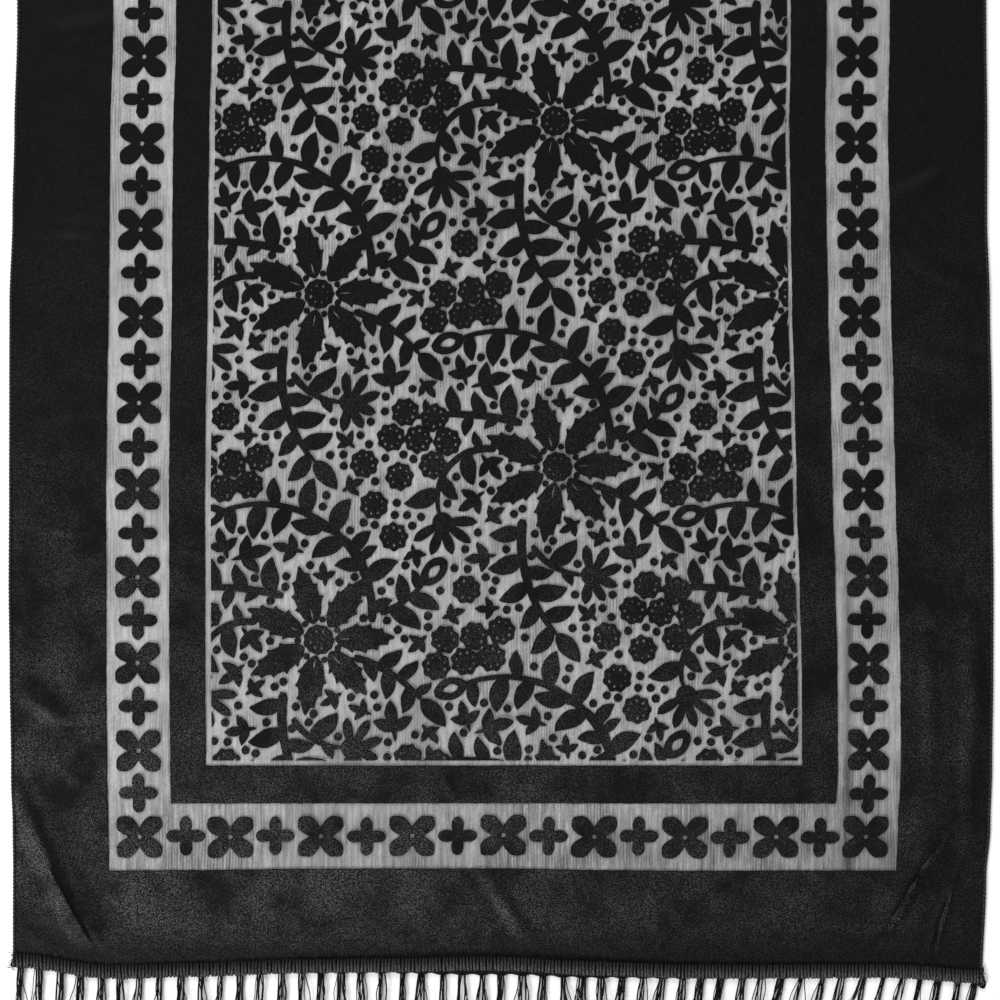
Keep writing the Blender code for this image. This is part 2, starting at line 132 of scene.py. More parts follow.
# Soft folds that stand up from the surface.
FOLDS = [Fold(*row) for row in (
    (-283.5, -703.5, -232.5, -824.5, 2.4, 7.8), (-262, -742, -226, -812, 1.6, 12),
    (266, -690, 222, -822, 2.2, 24), (264, -630, 268, -770, 1.3, 8), (241, -600, 244, -720, 0.9, 6),
    (-16, -756, 22, -815, 1.2, 6.5), (-277, -655, -244, -682, 2.2, 10),
    (-266, -507, -222, -493, 1.8, 9), (-268, -394, -222, -397, 1.5, 8),
    (-268, -286, -220, -279, 1.9, 10), (266, -606, 272, -702, 1.7, 9), (228, -618, 272, -614, 1.6, 9),
    (227, -467, 275, -474, 1.9, 9), (232, -414, 274, -428, 2.1, 9), (222, -382, 257, -366, 1.7, 9),
    (-30, -688, 22, -664, 1.4, 12), (-274, -175, -226, -160, 2.2, 10), (224, -245, 272, -232, 2, 10),
    (236, -80, 276, -98, 1.7, 9), (-272, -20, -224, -34, 1.8, 9), (-60, 50, 45, 75, 1.6, 13),
    (226, 110, 274, 121, 2.2, 10), (-270, 190, -228, 176, 2, 9), (268, 300, 271, 395, 2.1, 9),
    (-272, 430, -226, 446, 1.8, 10), (225, 520, 270, 508, 1.9, 9), (-275, 600, -240, 628, 2.2, 10),
    (-274, 716, -226, 810, 4.4, 14), (272, 728, 232, 811, 3.6, 13),
)]
# Fine creases with a sharp line: ridges stand up and troughs (negative) sink.
CREASES = [Fold(*row) for row in (
    # near left margin, from the end upwards
    (-262, -757, -228, -817, 1.6, 2.2), (-252, -769, -225, -813, 0.7, 5),
    (-275, -795, -244, -807, -0.8, 8), (-262, -681, -224, -679, -0.9, 3.5),
    (-210, -761, -210, -814, 0.35, 5), (-183, -765, -185, -814, -0.35, 5),
    (-276, -660, -248, -679, 0.7, 5), (-240, -607, -233, -643, -0.45, 6),
    (-273, -567, -222, -571, 0.6, 5), (-188, -578, -170, -581, 0.5, 5),
    (-189, -495, -170, -494, 0.6, 5), (-279, -449, -227, -433, -0.5, 6),
    (-275, -404, -224, -405, -0.7, 5), (-187, -396, -170, -396, 0.5, 4),
    (-268, -322, -222, -320, -0.7, 5), (-185, -319, -168, -319, -0.5, 4),
    (-265, -298, -222, -290, -0.7, 5), (-187, -673, -170, -654, -0.7, 6),
    (-262, -540, -236, -530, -0.3, 6), (-270, -350, -250, -362, 0.4, 5),
    (-258, -700, -232, -716, 0.45, 6),
    # near end
    (-22, -758, 10, -812, -0.6, 5), (-36, -704, -27, -723, 0.6, 5), (-19, -724, 30, -703, -1.1, 4),
    (-120, -772, -112, -812, 0.3, 6), (82, -768, 96, -812, 0.35, 6), (146, -764, 150, -812, -0.35, 6),
    # near right margin, from the end upwards
    (260, -719, 247, -763, 0.6, 4), (247, -763, 217, -800, 0.6, 4), (267, -750, 251, -787, 0.7, 4),
    (251, -787, 245, -814, 0.7, 4), (258, -734, 206, -819, -1.6, 2.4), (260, -735, 208, -820, 1.3, 2.4),
    (259, -766, 246, -820, -1.2, 2.2), (261, -766, 248, -820, 1.0, 2.2),
    (246, -752, 222, -792, -1.0, 6), (236, -609, 251, -582, 0.5, 5), (230, -626, 270, -625, -0.5, 5),
    (171, -605, 190, -597, -0.6, 5), (175, -666, 194, -664, 0.6, 5), (228, -458, 274, -465, -0.6, 5),
    (227, -405, 263, -414, -0.8, 5), (224, -372, 255, -360, -0.5, 5), (167, -369, 187, -376, 0.6, 4),
    (168, -469, 188, -468, 0.6, 4), (173, -547, 188, -536, -0.5, 5), (236, -520, 262, -532, 0.35, 6),
    (232, -330, 258, -322, 0.4, 5), (240, -290, 272, -300, -0.5, 6),
    # field
    (196, -762, 200, -590, 0.5, 5), (-60, -640, -40, -590, 0.3, 7),
    # on towards the far end
    (-274, -240, -226, -232, -0.6, 5), (-272, -120, -226, -130, 0.6, 5),
    (-188, -150, -170, -156, 0.5, 5), (-275, -60, -230, -52, -0.6, 6), (226, -190, 272, -196, 0.6, 5),
    (170, -140, 188, -132, -0.5, 5), (228, -30, 274, -18, -0.7, 5), (-272, 70, -224, 62, 0.6, 5),
    (226, 50, 262, 60, 0.5, 5), (-270, 130, -228, 142, -0.6, 5), (170, 96, 190, 104, 0.5, 5),
    (226, 190, 272, 182, -0.6, 6), (-272, 260, -230, 254, 0.7, 5), (-188, 300, -170, 292, -0.6, 5),
    (228, 268, 266, 280, 0.5, 5), (-275, 350, -226, 362, -0.6, 6), (172, 380, 190, 372, 0.6, 5),
    (228, 440, 272, 430, 0.6, 5), (-272, 520, -228, 512, 0.6, 5), (226, 600, 272, 612, -0.7, 5),
    (-188, 560, -170, 568, 0.5, 5), (-262, 680, -232, 664, -0.6, 6), (228, 668, 268, 676, 0.6, 5),
    (-262, 742, -218, 812, -0.8, 5), (-250, 700, -226, 760, 0.6, 5), (256, 720, 222, 806, -0.8, 5),
    (20, 762, -6, 812, 0.5, 6), (-110, 768, -118, 812, -0.4, 6), (120, 766, 132, 812, 0.4, 6),
    (-30, 706, 12, 722, 0.5, 6),
)]
CREASE_POINT = 1.6        # how steeply a crease falls from its line
FOLD_REACH = 0.14         # a fold is looked for this far from its middle, along the cloth
FOLD_END = (0.798, 0.811)  # the trim holds the cloth flat from here on

# Broad swells of the laid cloth: height, wave across, wave along and a shift.
Swell = namedtuple("Swell", "high across along shift")
SWELLS = [
    Swell(0.00018, 0.31, 0.47, 0.4), Swell(0.00014, -0.17, 0.29, 2.1),
    Swell(0.00010, 0.11, -0.16, 4.0), Swell(0.00007, 0.063, 0.082, 1.2),
]


# ================================================================ where the cloth lies
def ease(start, stop, value):
    """0 before start, 1 after stop, and smooth between them."""
    u = np.clip((value - start) / (stop - start), 0.0, 1.0)
    return u * u * (3.0 - 2.0 * u)


def between(rows, column, place):
    """A column of a short table at places given in its first column, eased from row to row."""
    places = np.array([row[0] for row in rows])
    values = np.array([getattr(row, column) for row in rows])
    high = np.clip(np.searchsorted(places, place), 1, len(rows) - 1)
    u = ease(places[high - 1], places[high], place)
    return values[high - 1] * (1.0 - u) + values[high] * u


def lay(s, t):
    """Where points of the flat cut lie, seen from above."""
    band = WIDTH / 2.0 - SIDE_MARGIN
    right = np.clip(s / (band - SIDE_BAND - SIDE_FRAME) / 2.0 + 0.5, 0.0, 1.0)
    frames = (1.0 - right) * between(SIDES, "left_frame", t) + right * between(SIDES, "right_frame", t)
    edges = np.where(s < 0.0, between(SIDES, "left_edge", t), between(SIDES, "right_edge", t))
    margin = np.clip((np.abs(s) - band) / SIDE_MARGIN, 0.0, 1.0)
    x = s + (1.0 - margin) * frames + margin * edges
    near = 1.0 - ease(-LENGTH / 2.0, -LENGTH / 2.0 + END_REACH, t)
    far = ease(LENGTH / 2.0 - END_REACH, LENGTH / 2.0, t)
    y = t + near * between(ENDS, "near", s) + far * between(ENDS, "far", s)
    return x, y


def fold_height(fold, sharp, s, t):
    """Height of one fold at the given points: soft across, or with a sharp line where it is a crease."""
    s0, t0, s1, t1, high, half = (value * MM for value in fold)
    ds, dt = s1 - s0, t1 - t0
    long = math.hypot(ds, dt)
    u = ((s - s0) * ds + (t - t0) * dt) / long ** 2
    off = ((s - s0) * dt - (t - t0) * ds) / long / half
    inside = (u > 0.0) & (u < 1.0) & (np.abs(off) < 1.0)
    u, off = u[inside], np.abs(off[inside])
    across = (1.0 - off) ** CREASE_POINT if sharp else (1.0 - off ** 2) ** 2
    height = np.zeros_like(s)
    height[inside] = 4.0 * u * (1.0 - u) * across * high
    return height


def crease_points(left, right, low, high):
    """Points that follow the creases within a rectangle, so that the mesh takes their shape."""
    points = []
    for crease in CREASES:
        s0, t0, s1, t1 = (value * MM for value in crease[:4])
        ds, dt = s1 - s0, t1 - t0
        long = math.hypot(ds, dt)
        count = max(2, round(long / CREASE_STEP))
        for i in range(1, count):
            for side in (-0.5, 0.0, 0.5):
                away = side * crease.half * MM / long
                s, t = s0 + ds * i / count - dt * away, t0 + dt * i / count + ds * away
                if left < s < right and low < t < high:
                    points.append((s, t))
    return points


def lift(s, t):
    """How far folds, creases and swells raise the cloth."""
    high = np.zeros_like(s)
    for swell in SWELLS:
        high += swell.high * np.sin(math.tau * (s / swell.across + t / swell.along) + swell.shift)
    for table, sharp in ((FOLDS, False), (CREASES, True)):
        for fold in table:
            near = np.abs(t - 0.5 * MM * (fold.t0 + fold.t1)) < FOLD_REACH
            high[near] += fold_height(fold, sharp, s[near], t[near])
    return high * (1.0 - ease(*FOLD_END, np.abs(t)))


def laid(points):
    """Flat points (s, t, height over the ground) moved to where the cloth lies."""
    s, t, high = np.asarray(points, float).T
    x, y = lay(s, t)
    ground = np.maximum(REST + lift(s, t), GROUND_GAP)
    return np.stack((x, y, np.maximum(ground + high, FLOOR_GAP)), axis=1)


# ================================================================ materials
def colour(code):
    """sRGB hex to linear."""
    parts = [int(code[i:i + 2], 16) / 255.0 for i in (1, 3, 5)]
    return tuple(c / 12.92 if c <= 0.04045 else ((c + 0.055) / 1.055) ** 2.4 for c in parts) + (1.0,)


def give(tree, node, inputs):
    """Sets a node's inputs, by name or in order, to values, to outputs or to a node's first output."""
    for name, value in inputs.items() if isinstance(inputs, dict) else enumerate(inputs):
        if isinstance(value, bpy.types.Node):
            value = value.outputs[0]
        if isinstance(value, bpy.types.NodeSocket):
            tree.links.new(value, node.inputs[name])
        else:
            node.inputs[name].default_value = value


def add(tree, kind, inputs=(), **settings):
    """A node with its settings and its inputs."""
    made = tree.nodes.new("ShaderNode" + kind)
    for name, value in settings.items():
        setattr(made, name, value)
    give(tree, made, inputs)
    return made


def new_material(name):
    """An empty Principled material, its node tree and its shader."""
    material = bpy.data.materials.new(name)
    material.use_nodes = True
    tree = material.node_tree
    return material, tree, tree.nodes["Principled BSDF"]


def per_metre(size):
    """How often a grain of a size in millimetres comes in a metre."""
    return 1.0 / (size * MM)


# Grain of each pattern, in millimetres.
PILE_TIP = 0.625          # a tuft of pile: real ones are 0.2, and too fine to show
CRUSHED_PATCH = 37.037
CRINKLE, CRINKLE_DRAWN = 1.4286, 0.07     # width of a crinkle, and its width for each length
WEAVE = 0.8696            # a slub of the weave: real threads are 0.15, and too fine to show
CLOUD, WATERED = 33.333, 5.4054
GLINT_SPOT = 1.1111         # a patch of painted glint, as big as a stray bundle of filaments: real ones are 0.3, and too fine to show
TAPE_WEAVE = 0.625        # two threads of the tape
PAPER_FIBRE = 3.3333      # a soft clump of fibres


def rayon_velvet():
    """Rayon pile woven on silk and burnt out round the motifs. Its colour carries painted light and
    shade:
    black where shaded, grey on slopes that face the lower left and towards the ends, darker beside
    the braid, with painted glints on the pile tips and crushed patches of uneven tone."""
    material, tree, shader = new_material("rayon_velvet_pile")
    place = add(tree, "TexCoord").outputs["Object"]
    axes = add(tree, "SeparateXYZ", (place,)).outputs
    from_middle = add(tree, "Math", (axes["Y"],), operation="ABSOLUTE")

    # Painted glints on the pile tips, and larger patches where the pile is crushed.
    askew = add(tree, "Mapping", {"Vector": place, "Rotation": (0.5, 0.4, 0.55)})
    tips = add(tree, "TexNoise", {"Vector": askew, "Scale": per_metre(PILE_TIP), "Detail": 1.0,
                                  "Roughness": 0.6})
    patches = add(tree, "TexNoise", {"Vector": place, "Scale": per_metre(CRUSHED_PATCH), "Detail": 6.0,
                                     "Roughness": 0.66})
    tip_glints = add(tree, "MapRange", (tips, 0.485, 0.645, 0.0, 2.8))
    crushed = add(tree, "MapRange", (patches, 0.37, 0.63, 0.02, 0.62))

    # Painted light and shade: slopes that face the lower left, where the key lamp stands, turn grey,
    # slopes that face away turn black, and the painted light grows towards both ends.
    facing = add(tree, "NewGeometry").outputs["Normal"]
    facing_key_light = add(tree, "VectorMath", (facing, (-0.80, -0.60, 0.0)), operation="DOT_PRODUCT")
    painted_slope_light = add(tree, "MapRange", (facing_key_light.outputs["Value"], -0.40, 0.40, 0.0, 2.2),
                    interpolation_type="SMOOTHSTEP")
    outwards = add(tree, "MapRange", (from_middle, 0.30, 0.82, 0.0, 0.66))
    painted_end_light = add(tree, "Math", (outwards, 1.6), operation="POWER")
    left_light_gain = add(tree, "MapRange", (from_middle, 0.46, 0.80, 0.0, -2.5))
    # Painted light from the left: near the ends the pile is lit more on its left side.
    towards = add(tree, "Math", (axes["X"], left_light_gain, 1.0), operation="MULTIPLY_ADD")
    painted_light_gradient = add(tree, "Math", (painted_end_light, towards), operation="MULTIPLY")
    painted_pile_light = add(tree, "Math", (painted_slope_light, painted_light_gradient), operation="MULTIPLY")

    # Painted shade beside the braid: the pile next to it is darkened, in uneven bays.
    corner = add(tree, "MapRange", (axes["X"], -0.28, -0.225, -0.024, -0.050))
    bays = add(tree, "Math", (patches, 0.10, corner), operation="MULTIPLY_ADD")
    near_trim = add(tree, "Math", (from_middle, bays), operation="ADD")
    braid_shade = add(tree, "MapRange", (near_trim, 0.799, 0.810, 1.0, 0.22))
    # Crushed tone, times the painted shade beside the braid.
    even = add(tree, "Math", (crushed, braid_shade), operation="MULTIPLY")

    # Painted light and shade: the pile runs from black where shaded to grey where lit, salted with
    # painted glints.
    stand = add(tree, "Math", (painted_pile_light, even, 0.02), operation="MULTIPLY_ADD")
    lit = add(tree, "Math", (tip_glints, stand), operation="MULTIPLY", use_clamp=True)
    shade = add(tree, "Mix", {"Factor": lit, 6: colour("#040404"), 7: colour("#565657")},
                data_type="RGBA")
    fine = add(tree, "Bump", {"Height": tips, "Strength": 0.6, "Distance": 0.0003})
    relief = add(tree, "Bump", {"Height": patches, "Strength": 1.0, "Distance": 0.0016, "Normal": fine})
    give(tree, shader, {
        "Base Color": shade.outputs[2], "Roughness": 0.5, "Metallic": 0.0, "IOR": 1.53,
        "Specular IOR Level": 0.08, "Sheen Weight": 0.02, "Sheen Roughness": 0.4,
        "Sheen Tint": colour("#c8c9cc"), "Normal": relief,
    })
    return material


def silk_georgette():
    """Crinkled silk georgette left where the pile is burnt out: a thin grey veil that lets the
    surface under it through, with fine lengthwise crinkles, a grainy weave and a watered look."""
    material, tree, shader = new_material("silk_georgette_ground")
    place = add(tree, "TexCoord").outputs["Object"]
    axes = add(tree, "SeparateXYZ", (place,)).outputs
    from_middle = add(tree, "Math", (axes["Y"],), operation="ABSOLUTE")

    stretch = add(tree, "Mapping", {"Vector": place, "Scale": (1.0, CRINKLE_DRAWN, 1.0)})
    crinkle = add(tree, "TexNoise", {"Vector": stretch, "Scale": per_metre(CRINKLE), "Detail": 2.0,
                                     "Roughness": 0.6})
    weave = add(tree, "TexNoise", {"Vector": place, "Scale": per_metre(WEAVE), "Detail": 2.0,
                                   "Roughness": 0.7})
    cloud = add(tree, "TexNoise", {"Vector": place, "Scale": per_metre(CLOUD), "Detail": 3.0})
    watered = add(tree, "TexWave", {"Vector": place, "Scale": per_metre(WATERED), "Distortion": 12.0,
                                    "Detail": 1.0, "Detail Scale": 0.10}, bands_direction="X")
    where = add(tree, "MapRange", (cloud, 0.47, 0.62, 0.03, 0.18))
    ripple = add(tree, "Math", (watered.outputs["Fac"], where), operation="MULTIPLY")

    # Near the trims the ground is darker and its crinkles show more; across, it grows darker towards the
    # right.
    darker_near_ends = add(tree, "MapRange", (from_middle, 0.69, 0.745, 0.0, 0.095))
    drawn = add(tree, "MapRange", (from_middle, 0.69, 0.745, 0.38, 0.60))
    darker_to_right = add(tree, "MapRange", (axes["X"], -0.23, 0.23, -0.03, 0.045))
    streak = add(tree, "Math", (crinkle, 0.5), operation="SUBTRACT")

    # Painted shade of one lengthwise fold, 9 mm wide, in the right border at the near end.
    aside = add(tree, "Math", (axes["X"], 0.1985), operation="SUBTRACT")
    beside = add(tree, "Math", (aside,), operation="ABSOLUTE")
    fold_shade = add(tree, "MapRange", (beside, 0.0, 0.0045, 0.20, 0.0), interpolation_type="SMOOTHSTEP")
    along = add(tree, "MapRange", (axes["Y"], -0.62, -0.58, 1.0, 0.0))
    painted_fold_shade = add(tree, "Math", (fold_shade, along), operation="MULTIPLY")

    veil = add(tree, "Math", (streak, drawn, 0.160), operation="MULTIPLY_ADD")
    for part, amount in ((weave, 0.42), (cloud, 0.08), (ripple, 1.0), (darker_near_ends, 1.0), (darker_to_right, 1.0),
                         (painted_fold_shade, 1.0)):
        veil = add(tree, "Math", (part, amount, veil), operation="MULTIPLY_ADD")
    bump = add(tree, "Bump", {"Height": crinkle, "Strength": 0.3, "Distance": 0.0004})
    give(tree, shader, {
        "Base Color": colour("#2a2b2d"), "Roughness": 0.7, "Metallic": 0.0, "IOR": 1.54,
        "Specular IOR Level": 0.2, "Sheen Weight": 0.12, "Alpha": veil, "Normal": bump,
    })
    return material


def plied_rayon(name, dark, light, slope, turns, roughness, gloss):
    """Plied rayon yarn: smooth black filaments with a slanting twist, and a painted glint on each turn.
    """
    material, tree, shader = new_material(name)
    along = add(tree, "UVMap", uv_map="twist")
    slanting = add(tree, "Mapping", {"Vector": along, "Rotation": (0.0, 0.0, math.radians(slope))})
    twist = add(tree, "TexWave", {"Vector": slanting, "Scale": turns, "Distortion": 1.5, "Detail": 1.0},
                wave_profile="SIN").outputs["Fac"]
    place = add(tree, "TexCoord").outputs["Object"]
    glint_spots = add(tree, "TexNoise", {"Vector": place, "Scale": per_metre(GLINT_SPOT), "Detail": 2.0})
    glint = add(tree, "MapRange", (glint_spots, 0.36, 0.62))
    # Painted highlight: the light colour falls where a turn of the twist meets a glint spot.
    lit = add(tree, "Math", (twist, glint), operation="MULTIPLY")
    shade = add(tree, "Mix", {"Factor": lit, 6: colour(dark), 7: colour(light)}, data_type="RGBA")
    bump = add(tree, "Bump", {"Height": twist, "Strength": 0.5, "Distance": 0.0003})
    give(tree, shader, {
        "Base Color": shade.outputs[2], "Roughness": roughness, "Metallic": 0.0, "IOR": 1.53,
        "Specular IOR Level": gloss, "Sheen Weight": 0.0, "Normal": bump,
    })
    return material


def woven_tape():
    """Plain black cotton tape behind the ribs: dull, with a close weave."""
    material, tree, shader = new_material("black_cotton_tape")
    place = add(tree, "TexCoord").outputs["Object"]
    weave = add(tree, "TexNoise", {"Vector": place, "Scale": per_metre(TAPE_WEAVE), "Detail": 2.0})
    shade = add(tree, "Mix", {"Factor": weave, 6: colour("#050506"), 7: colour("#131415")},
                data_type="RGBA")
    bump = add(tree, "Bump", {"Height": weave, "Strength": 0.5, "Distance": 0.0002})
    give(tree, shader, {"Base Color": shade.outputs[2], "Roughness": 0.85, "Metallic": 0.0, "IOR": 1.5,
                        "Specular IOR Level": 0.15, "Normal": bump})
    return material


def matt_paper():
    """White background paper: matt and even, so the sheer ground shows its true tone on it."""
    material, tree, shader = new_material("matt_white_paper")
    place = add(tree, "TexCoord").outputs["Object"]
    fibre = add(tree, "TexNoise", {"Vector": place, "Scale": per_metre(PAPER_FIBRE), "Detail": 2.0})
    shade = add(tree, "Mix", {"Factor": fibre, 6: colour("#f6f6f6"), 7: colour("#f9f9f9")},
                data_type="RGBA")
    give(tree, shader, {"Base Color": shade.outputs[2], "Roughness": 0.95, "Specular IOR Level": 0.1})
    return material


# ================================================================ making pieces
def finish_piece(name, data, material, replaced):
    """An object of the stole that rides on its body and stands for a plain solid."""
    item = bpy.data.objects.new(name, data)
    bpy.context.scene.collection.objects.link(item)
    data.materials.append(material)
    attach(item, "root")
    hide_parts(replaced)
    return item


def move_to_laid(data):
    """Moves a flat mesh's points to where the cloth lies."""
    flat = np.empty(len(data.vertices) * 3, np.float32)
    data.vertices.foreach_get("co", flat)
    data.vertices.foreach_set("co", laid(flat.reshape(-1, 3)).astype(np.float32).ravel())
    data.update()


def rectangle(left, right, low, high, step):
    """Points round a rectangle, at about equal steps."""
    corners = [(left, low), (right, low), (right, high), (left, high)]
    points = []
    for (s0, t0), (s1, t1) in zip(corners, corners[1:] + corners[:1]):
        count = max(1, round(math.hypot(s1 - s0, t1 - t0) / step))
        points += [(s0 + (s1 - s0) * i / count, t0 + (t1 - t0) * i / count) for i in range(count)]
    return points


def inset_rectangle(across, along, step):
    """The rectangle that lies a given way in from the cut's edges."""
    wide, long = WIDTH / 2.0 - across, LENGTH / 2.0 - along
    return rectangle(-wide, wide, -long, long, step)


def uneven(loop, amount, draws):
    """The loop with each point moved a little, as a burnt edge wanders."""
    return [(s + draws.uniform(-amount, amount), t + draws.uniform(-amount, amount)) for s, t in loop]


def triangulate(loops, loose):
    """Points and triangles over all the loops, and for each triangle the loops that it lies in."""
    points, faces = [], []
    for loop in loops:
        faces.append(list(range(len(points), len(points) + len(loop))))
        points += [Vector(p) for p in loop]
    points += [Vector(p) for p in loose]
    found = delaunay_2d_cdt(points, [], faces, 0, 1e-7, True)
    return found[0], found[2], found[5]


def staggered_grid(left, right, low, high, step):
    """Points of a staggered grid over a rectangle."""
    rows = int((high - low) / (step * STAGGER))
    points = []
    for row in range(1, rows):
        start = left + step * (0.5 if row % 2 else 1.0)
        count = int((right - start - step * 0.4) / step) + 1
        points += [(start + i * step, low + row * (high - low) / rows) for i in range(count)]
    return points


def raise_pile(name, points, triangles, material):
    """A stretch of pile: flat triangles raised from the ground, with a rounded edge."""
    mesh = bmesh.new()
    used = sorted({i for triangle in triangles for i in triangle})
    verts = {i: mesh.verts.new((points[i].x, points[i].y, ROOT)) for i in used}
    flat = [mesh.faces.new([verts[i] for i in triangle]) for triangle in triangles]
    grown = bmesh.ops.extrude_face_region(mesh, geom=flat)["geom"]
    bmesh.ops.delete(mesh, geom=flat, context="FACES")
    top = [item for item in grown if isinstance(item, bmesh.types.BMFace)]
    for item in grown:
        if isinstance(item, bmesh.types.BMVert):
            item.co.z = WALL
    mesh.normal_update()
    bmesh.ops.inset_region(mesh, faces=top, thickness=SHOULDER, depth=NAP - WALL,
                           use_boundary=True, use_even_offset=False)
    data = bpy.data.meshes.new(name)
    mesh.to_mesh(data)
    mesh.free()
    move_to_laid(data)
    data.shade_smooth()
    data.set_sharp_from_angle(angle=math.radians(PILE_SHARP))
    return finish_piece(name, data, material, "body")


def tubes(name, strands, sides, material, replaced):
    """One mesh of round strands, each a list of stations (x, y, z, radius), with its twist's map."""
    points, faces, maps = [], [], []
    turn = np.linspace(0.0, math.tau, sides, endpoint=False)
    for stations in strands:
        stations = np.asarray(stations, float)
        route, radius = stations[:, :3], stations[:, 3:]
        way = np.gradient(route, axis=0)
        way /= np.linalg.norm(way, axis=1)[:, None]
        side = np.cross(way, (0.0, 0.0, 1.0))
        side /= np.linalg.norm(side, axis=1)[:, None]
        up = np.cross(side, way)
        ring = (side[:, None] * np.cos(turn)[None, :, None] + up[:, None] * np.sin(turn)[None, :, None])
        first = len(points)
        points += (route[:, None] + ring * radius[:, None]).reshape(-1, 3).tolist()
        steps = np.linalg.norm(np.diff(route, axis=0), axis=1)
        along = np.concatenate(([0.0], np.cumsum(steps))) / TWIST_PITCH
        for i in range(len(route) - 1):
            low, high = first + i * sides, first + (i + 1) * sides
            for j in range(sides):
                k = (j + 1) % sides
                faces.append((low + j, low + k, high + k, high + j))
                a, b = j / sides, (j + 1) / sides
                maps += [(a, along[i]), (b, along[i]), (b, along[i + 1]), (a, along[i + 1])]
        faces.append(tuple(first + j for j in reversed(range(sides))))
        faces.append(tuple(first + (len(route) - 1) * sides + j for j in range(sides)))
        maps += [(0.0, 0.0)] * (2 * sides)
    data = bpy.data.meshes.new(name)
    data.from_pydata(points, [], faces)
    data.uv_layers.new(name="twist").data.foreach_set("uv", np.array(maps, np.float32).ravel())
    data.shade_smooth()
    data.set_sharp_from_angle(angle=math.radians(YARN_SHARP))
    return finish_piece(name, data, material, replaced)


# ================================================================ the sheer ground
def sheer_ground(material):
    """The whole length of cloth without its pile, in one layer."""
    columns, rows = round(WIDTH / GROUND_GRID), round(LENGTH / GROUND_GRID)
    s, t = np.meshgrid(np.linspace(-WIDTH / 2, WIDTH / 2, columns + 1),
                       np.linspace(-LENGTH / 2, LENGTH / 2, rows + 1))
    points = laid(np.stack((s.ravel(), t.ravel(), np.zeros(s.size)), axis=1))
    corner = (np.arange(rows)[:, None] * (columns + 1) + np.arange(columns)[None, :]).ravel()
    faces = np.stack((corner, corner + 1, corner + columns + 2, corner + columns + 1), axis=1)
    data = bpy.data.meshes.new("sheer_ground")
    data.from_pydata(points.tolist(), [], faces.tolist())
    data.shade_smooth()
    return finish_piece("sheer_ground", data, material, "body")


# ================================================================ plain velvet
def velvet_band(name, outer, inner, reach, hole, material):
    """Plain pile between two outlines. Its points have a reach from the middle, and leave a hole."""
    wide, long = reach
    grid = staggered_grid(-wide, wide, -long, long, PILE_GRID) + crease_points(-wide, wide, -long, long)
    loose = [p for p in grid if abs(p[0]) > hole[0] or abs(p[1]) > hole[1]]
    points, triangles, inside = triangulate([outer, inner], loose)
    kept = [tri for tri, loops in zip(triangles, inside) if loops == [0]]
    return raise_pile(name, points, kept, material)


def velvet_margin(material, draws):
    """The wide velvet margin round the whole stole."""
    outer = inset_rectangle(HEM_RADIUS, 0.0, EDGE_STEP)
    inner = uneven(inset_rectangle(SIDE_MARGIN, END_MARGIN, EDGE_STEP), UNEVEN_CUT, draws)
    reach = WIDTH / 2.0 - HEM_RADIUS, LENGTH / 2.0
    hole = WIDTH / 2.0 - SIDE_MARGIN + EDGE_STEP, LENGTH / 2.0 - END_MARGIN + EDGE_STEP
    return velvet_band("velvet_margin", outer, inner, reach, hole, material)


def velvet_frame(material, draws):
    """The narrow velvet frame between the border and the field of flowers."""
    across, along = SIDE_MARGIN + SIDE_BAND, END_MARGIN + END_BAND
    outer = uneven(inset_rectangle(across, along, EDGE_STEP), UNEVEN_CUT, draws)
    inner = uneven(inset_rectangle(across + SIDE_FRAME, along + END_FRAME, EDGE_STEP), UNEVEN_CUT, draws)
    wide, long = WIDTH / 2.0 - across, LENGTH / 2.0 - along
    reach = wide - EDGE_STEP, long - EDGE_STEP
    hole = wide - SIDE_FRAME + EDGE_STEP, long - END_FRAME + EDGE_STEP
    return velvet_band("velvet_frame", outer, inner, reach, hole, material)


# ================================================================ border motifs
Quatrefoil = namedtuple("Quatrefoil", "turn notch tip fullness sharpness square")
BROAD = Quatrefoil(45.0, 5.4, 17.2, 1.9, 1.55, 11.8)    # four blunt petals on the diagonals
NARROW = Quatrefoil(0.0, 4.2, 11.2, 2.0, 1.5, 12.2)     # four rounded petals on the axes
PETAL_STEPS = 14
BLUNT = 10.0              # how squarely the blunt petals end
END_STRETCH = 1.10        # how much wider than high the broad motifs are at the ends
LEFT_STRETCH, RIGHT_STRETCH = 1.08, 0.99
PINHOLE = 0.0014          # across the hole in a narrow motif, and twice that in a broad one
CORE = 0.0046             # radius of the points that shape a motif's middle


def quatrefoil(centre, kind, draws, stretch=1.0):
    """Four like petals round a centre, each from its notch out to its tip and back."""
    loop = []
    for step in range(4 * PETAL_STEPS):
        aside = abs((step % PETAL_STEPS) / PETAL_STEPS * 2.0 - 1.0)
        r = kind.notch + (kind.tip - kind.notch) * (1.0 - aside ** kind.fullness) ** kind.sharpness
        a = math.radians(kind.turn - 45.0 + 90.0 * step / PETAL_STEPS)
        blunt = (abs(math.cos(a)) ** BLUNT + abs(math.sin(a)) ** BLUNT) ** (1.0 / BLUNT)
        r = min(r, kind.square / blunt) * MM
        loop.append((centre[0] + stretch * r * math.cos(a), centre[1] + r * math.sin(a)))
    return uneven(loop, UNEVEN_CUT, draws)


def ring(centre, radius, count, turn=0.0, ripple=0.0, scallops=0):
    """Points of a circle, or of a scalloped one."""
    loop = []
    for i in range(count):
        a = math.tau * i / count
        r = radius * (1.0 + ripple * math.cos(scallops * a))
        loop.append((centre[0] + r * math.cos(a + turn), centre[1] + r * math.sin(a + turn)))
    return loop


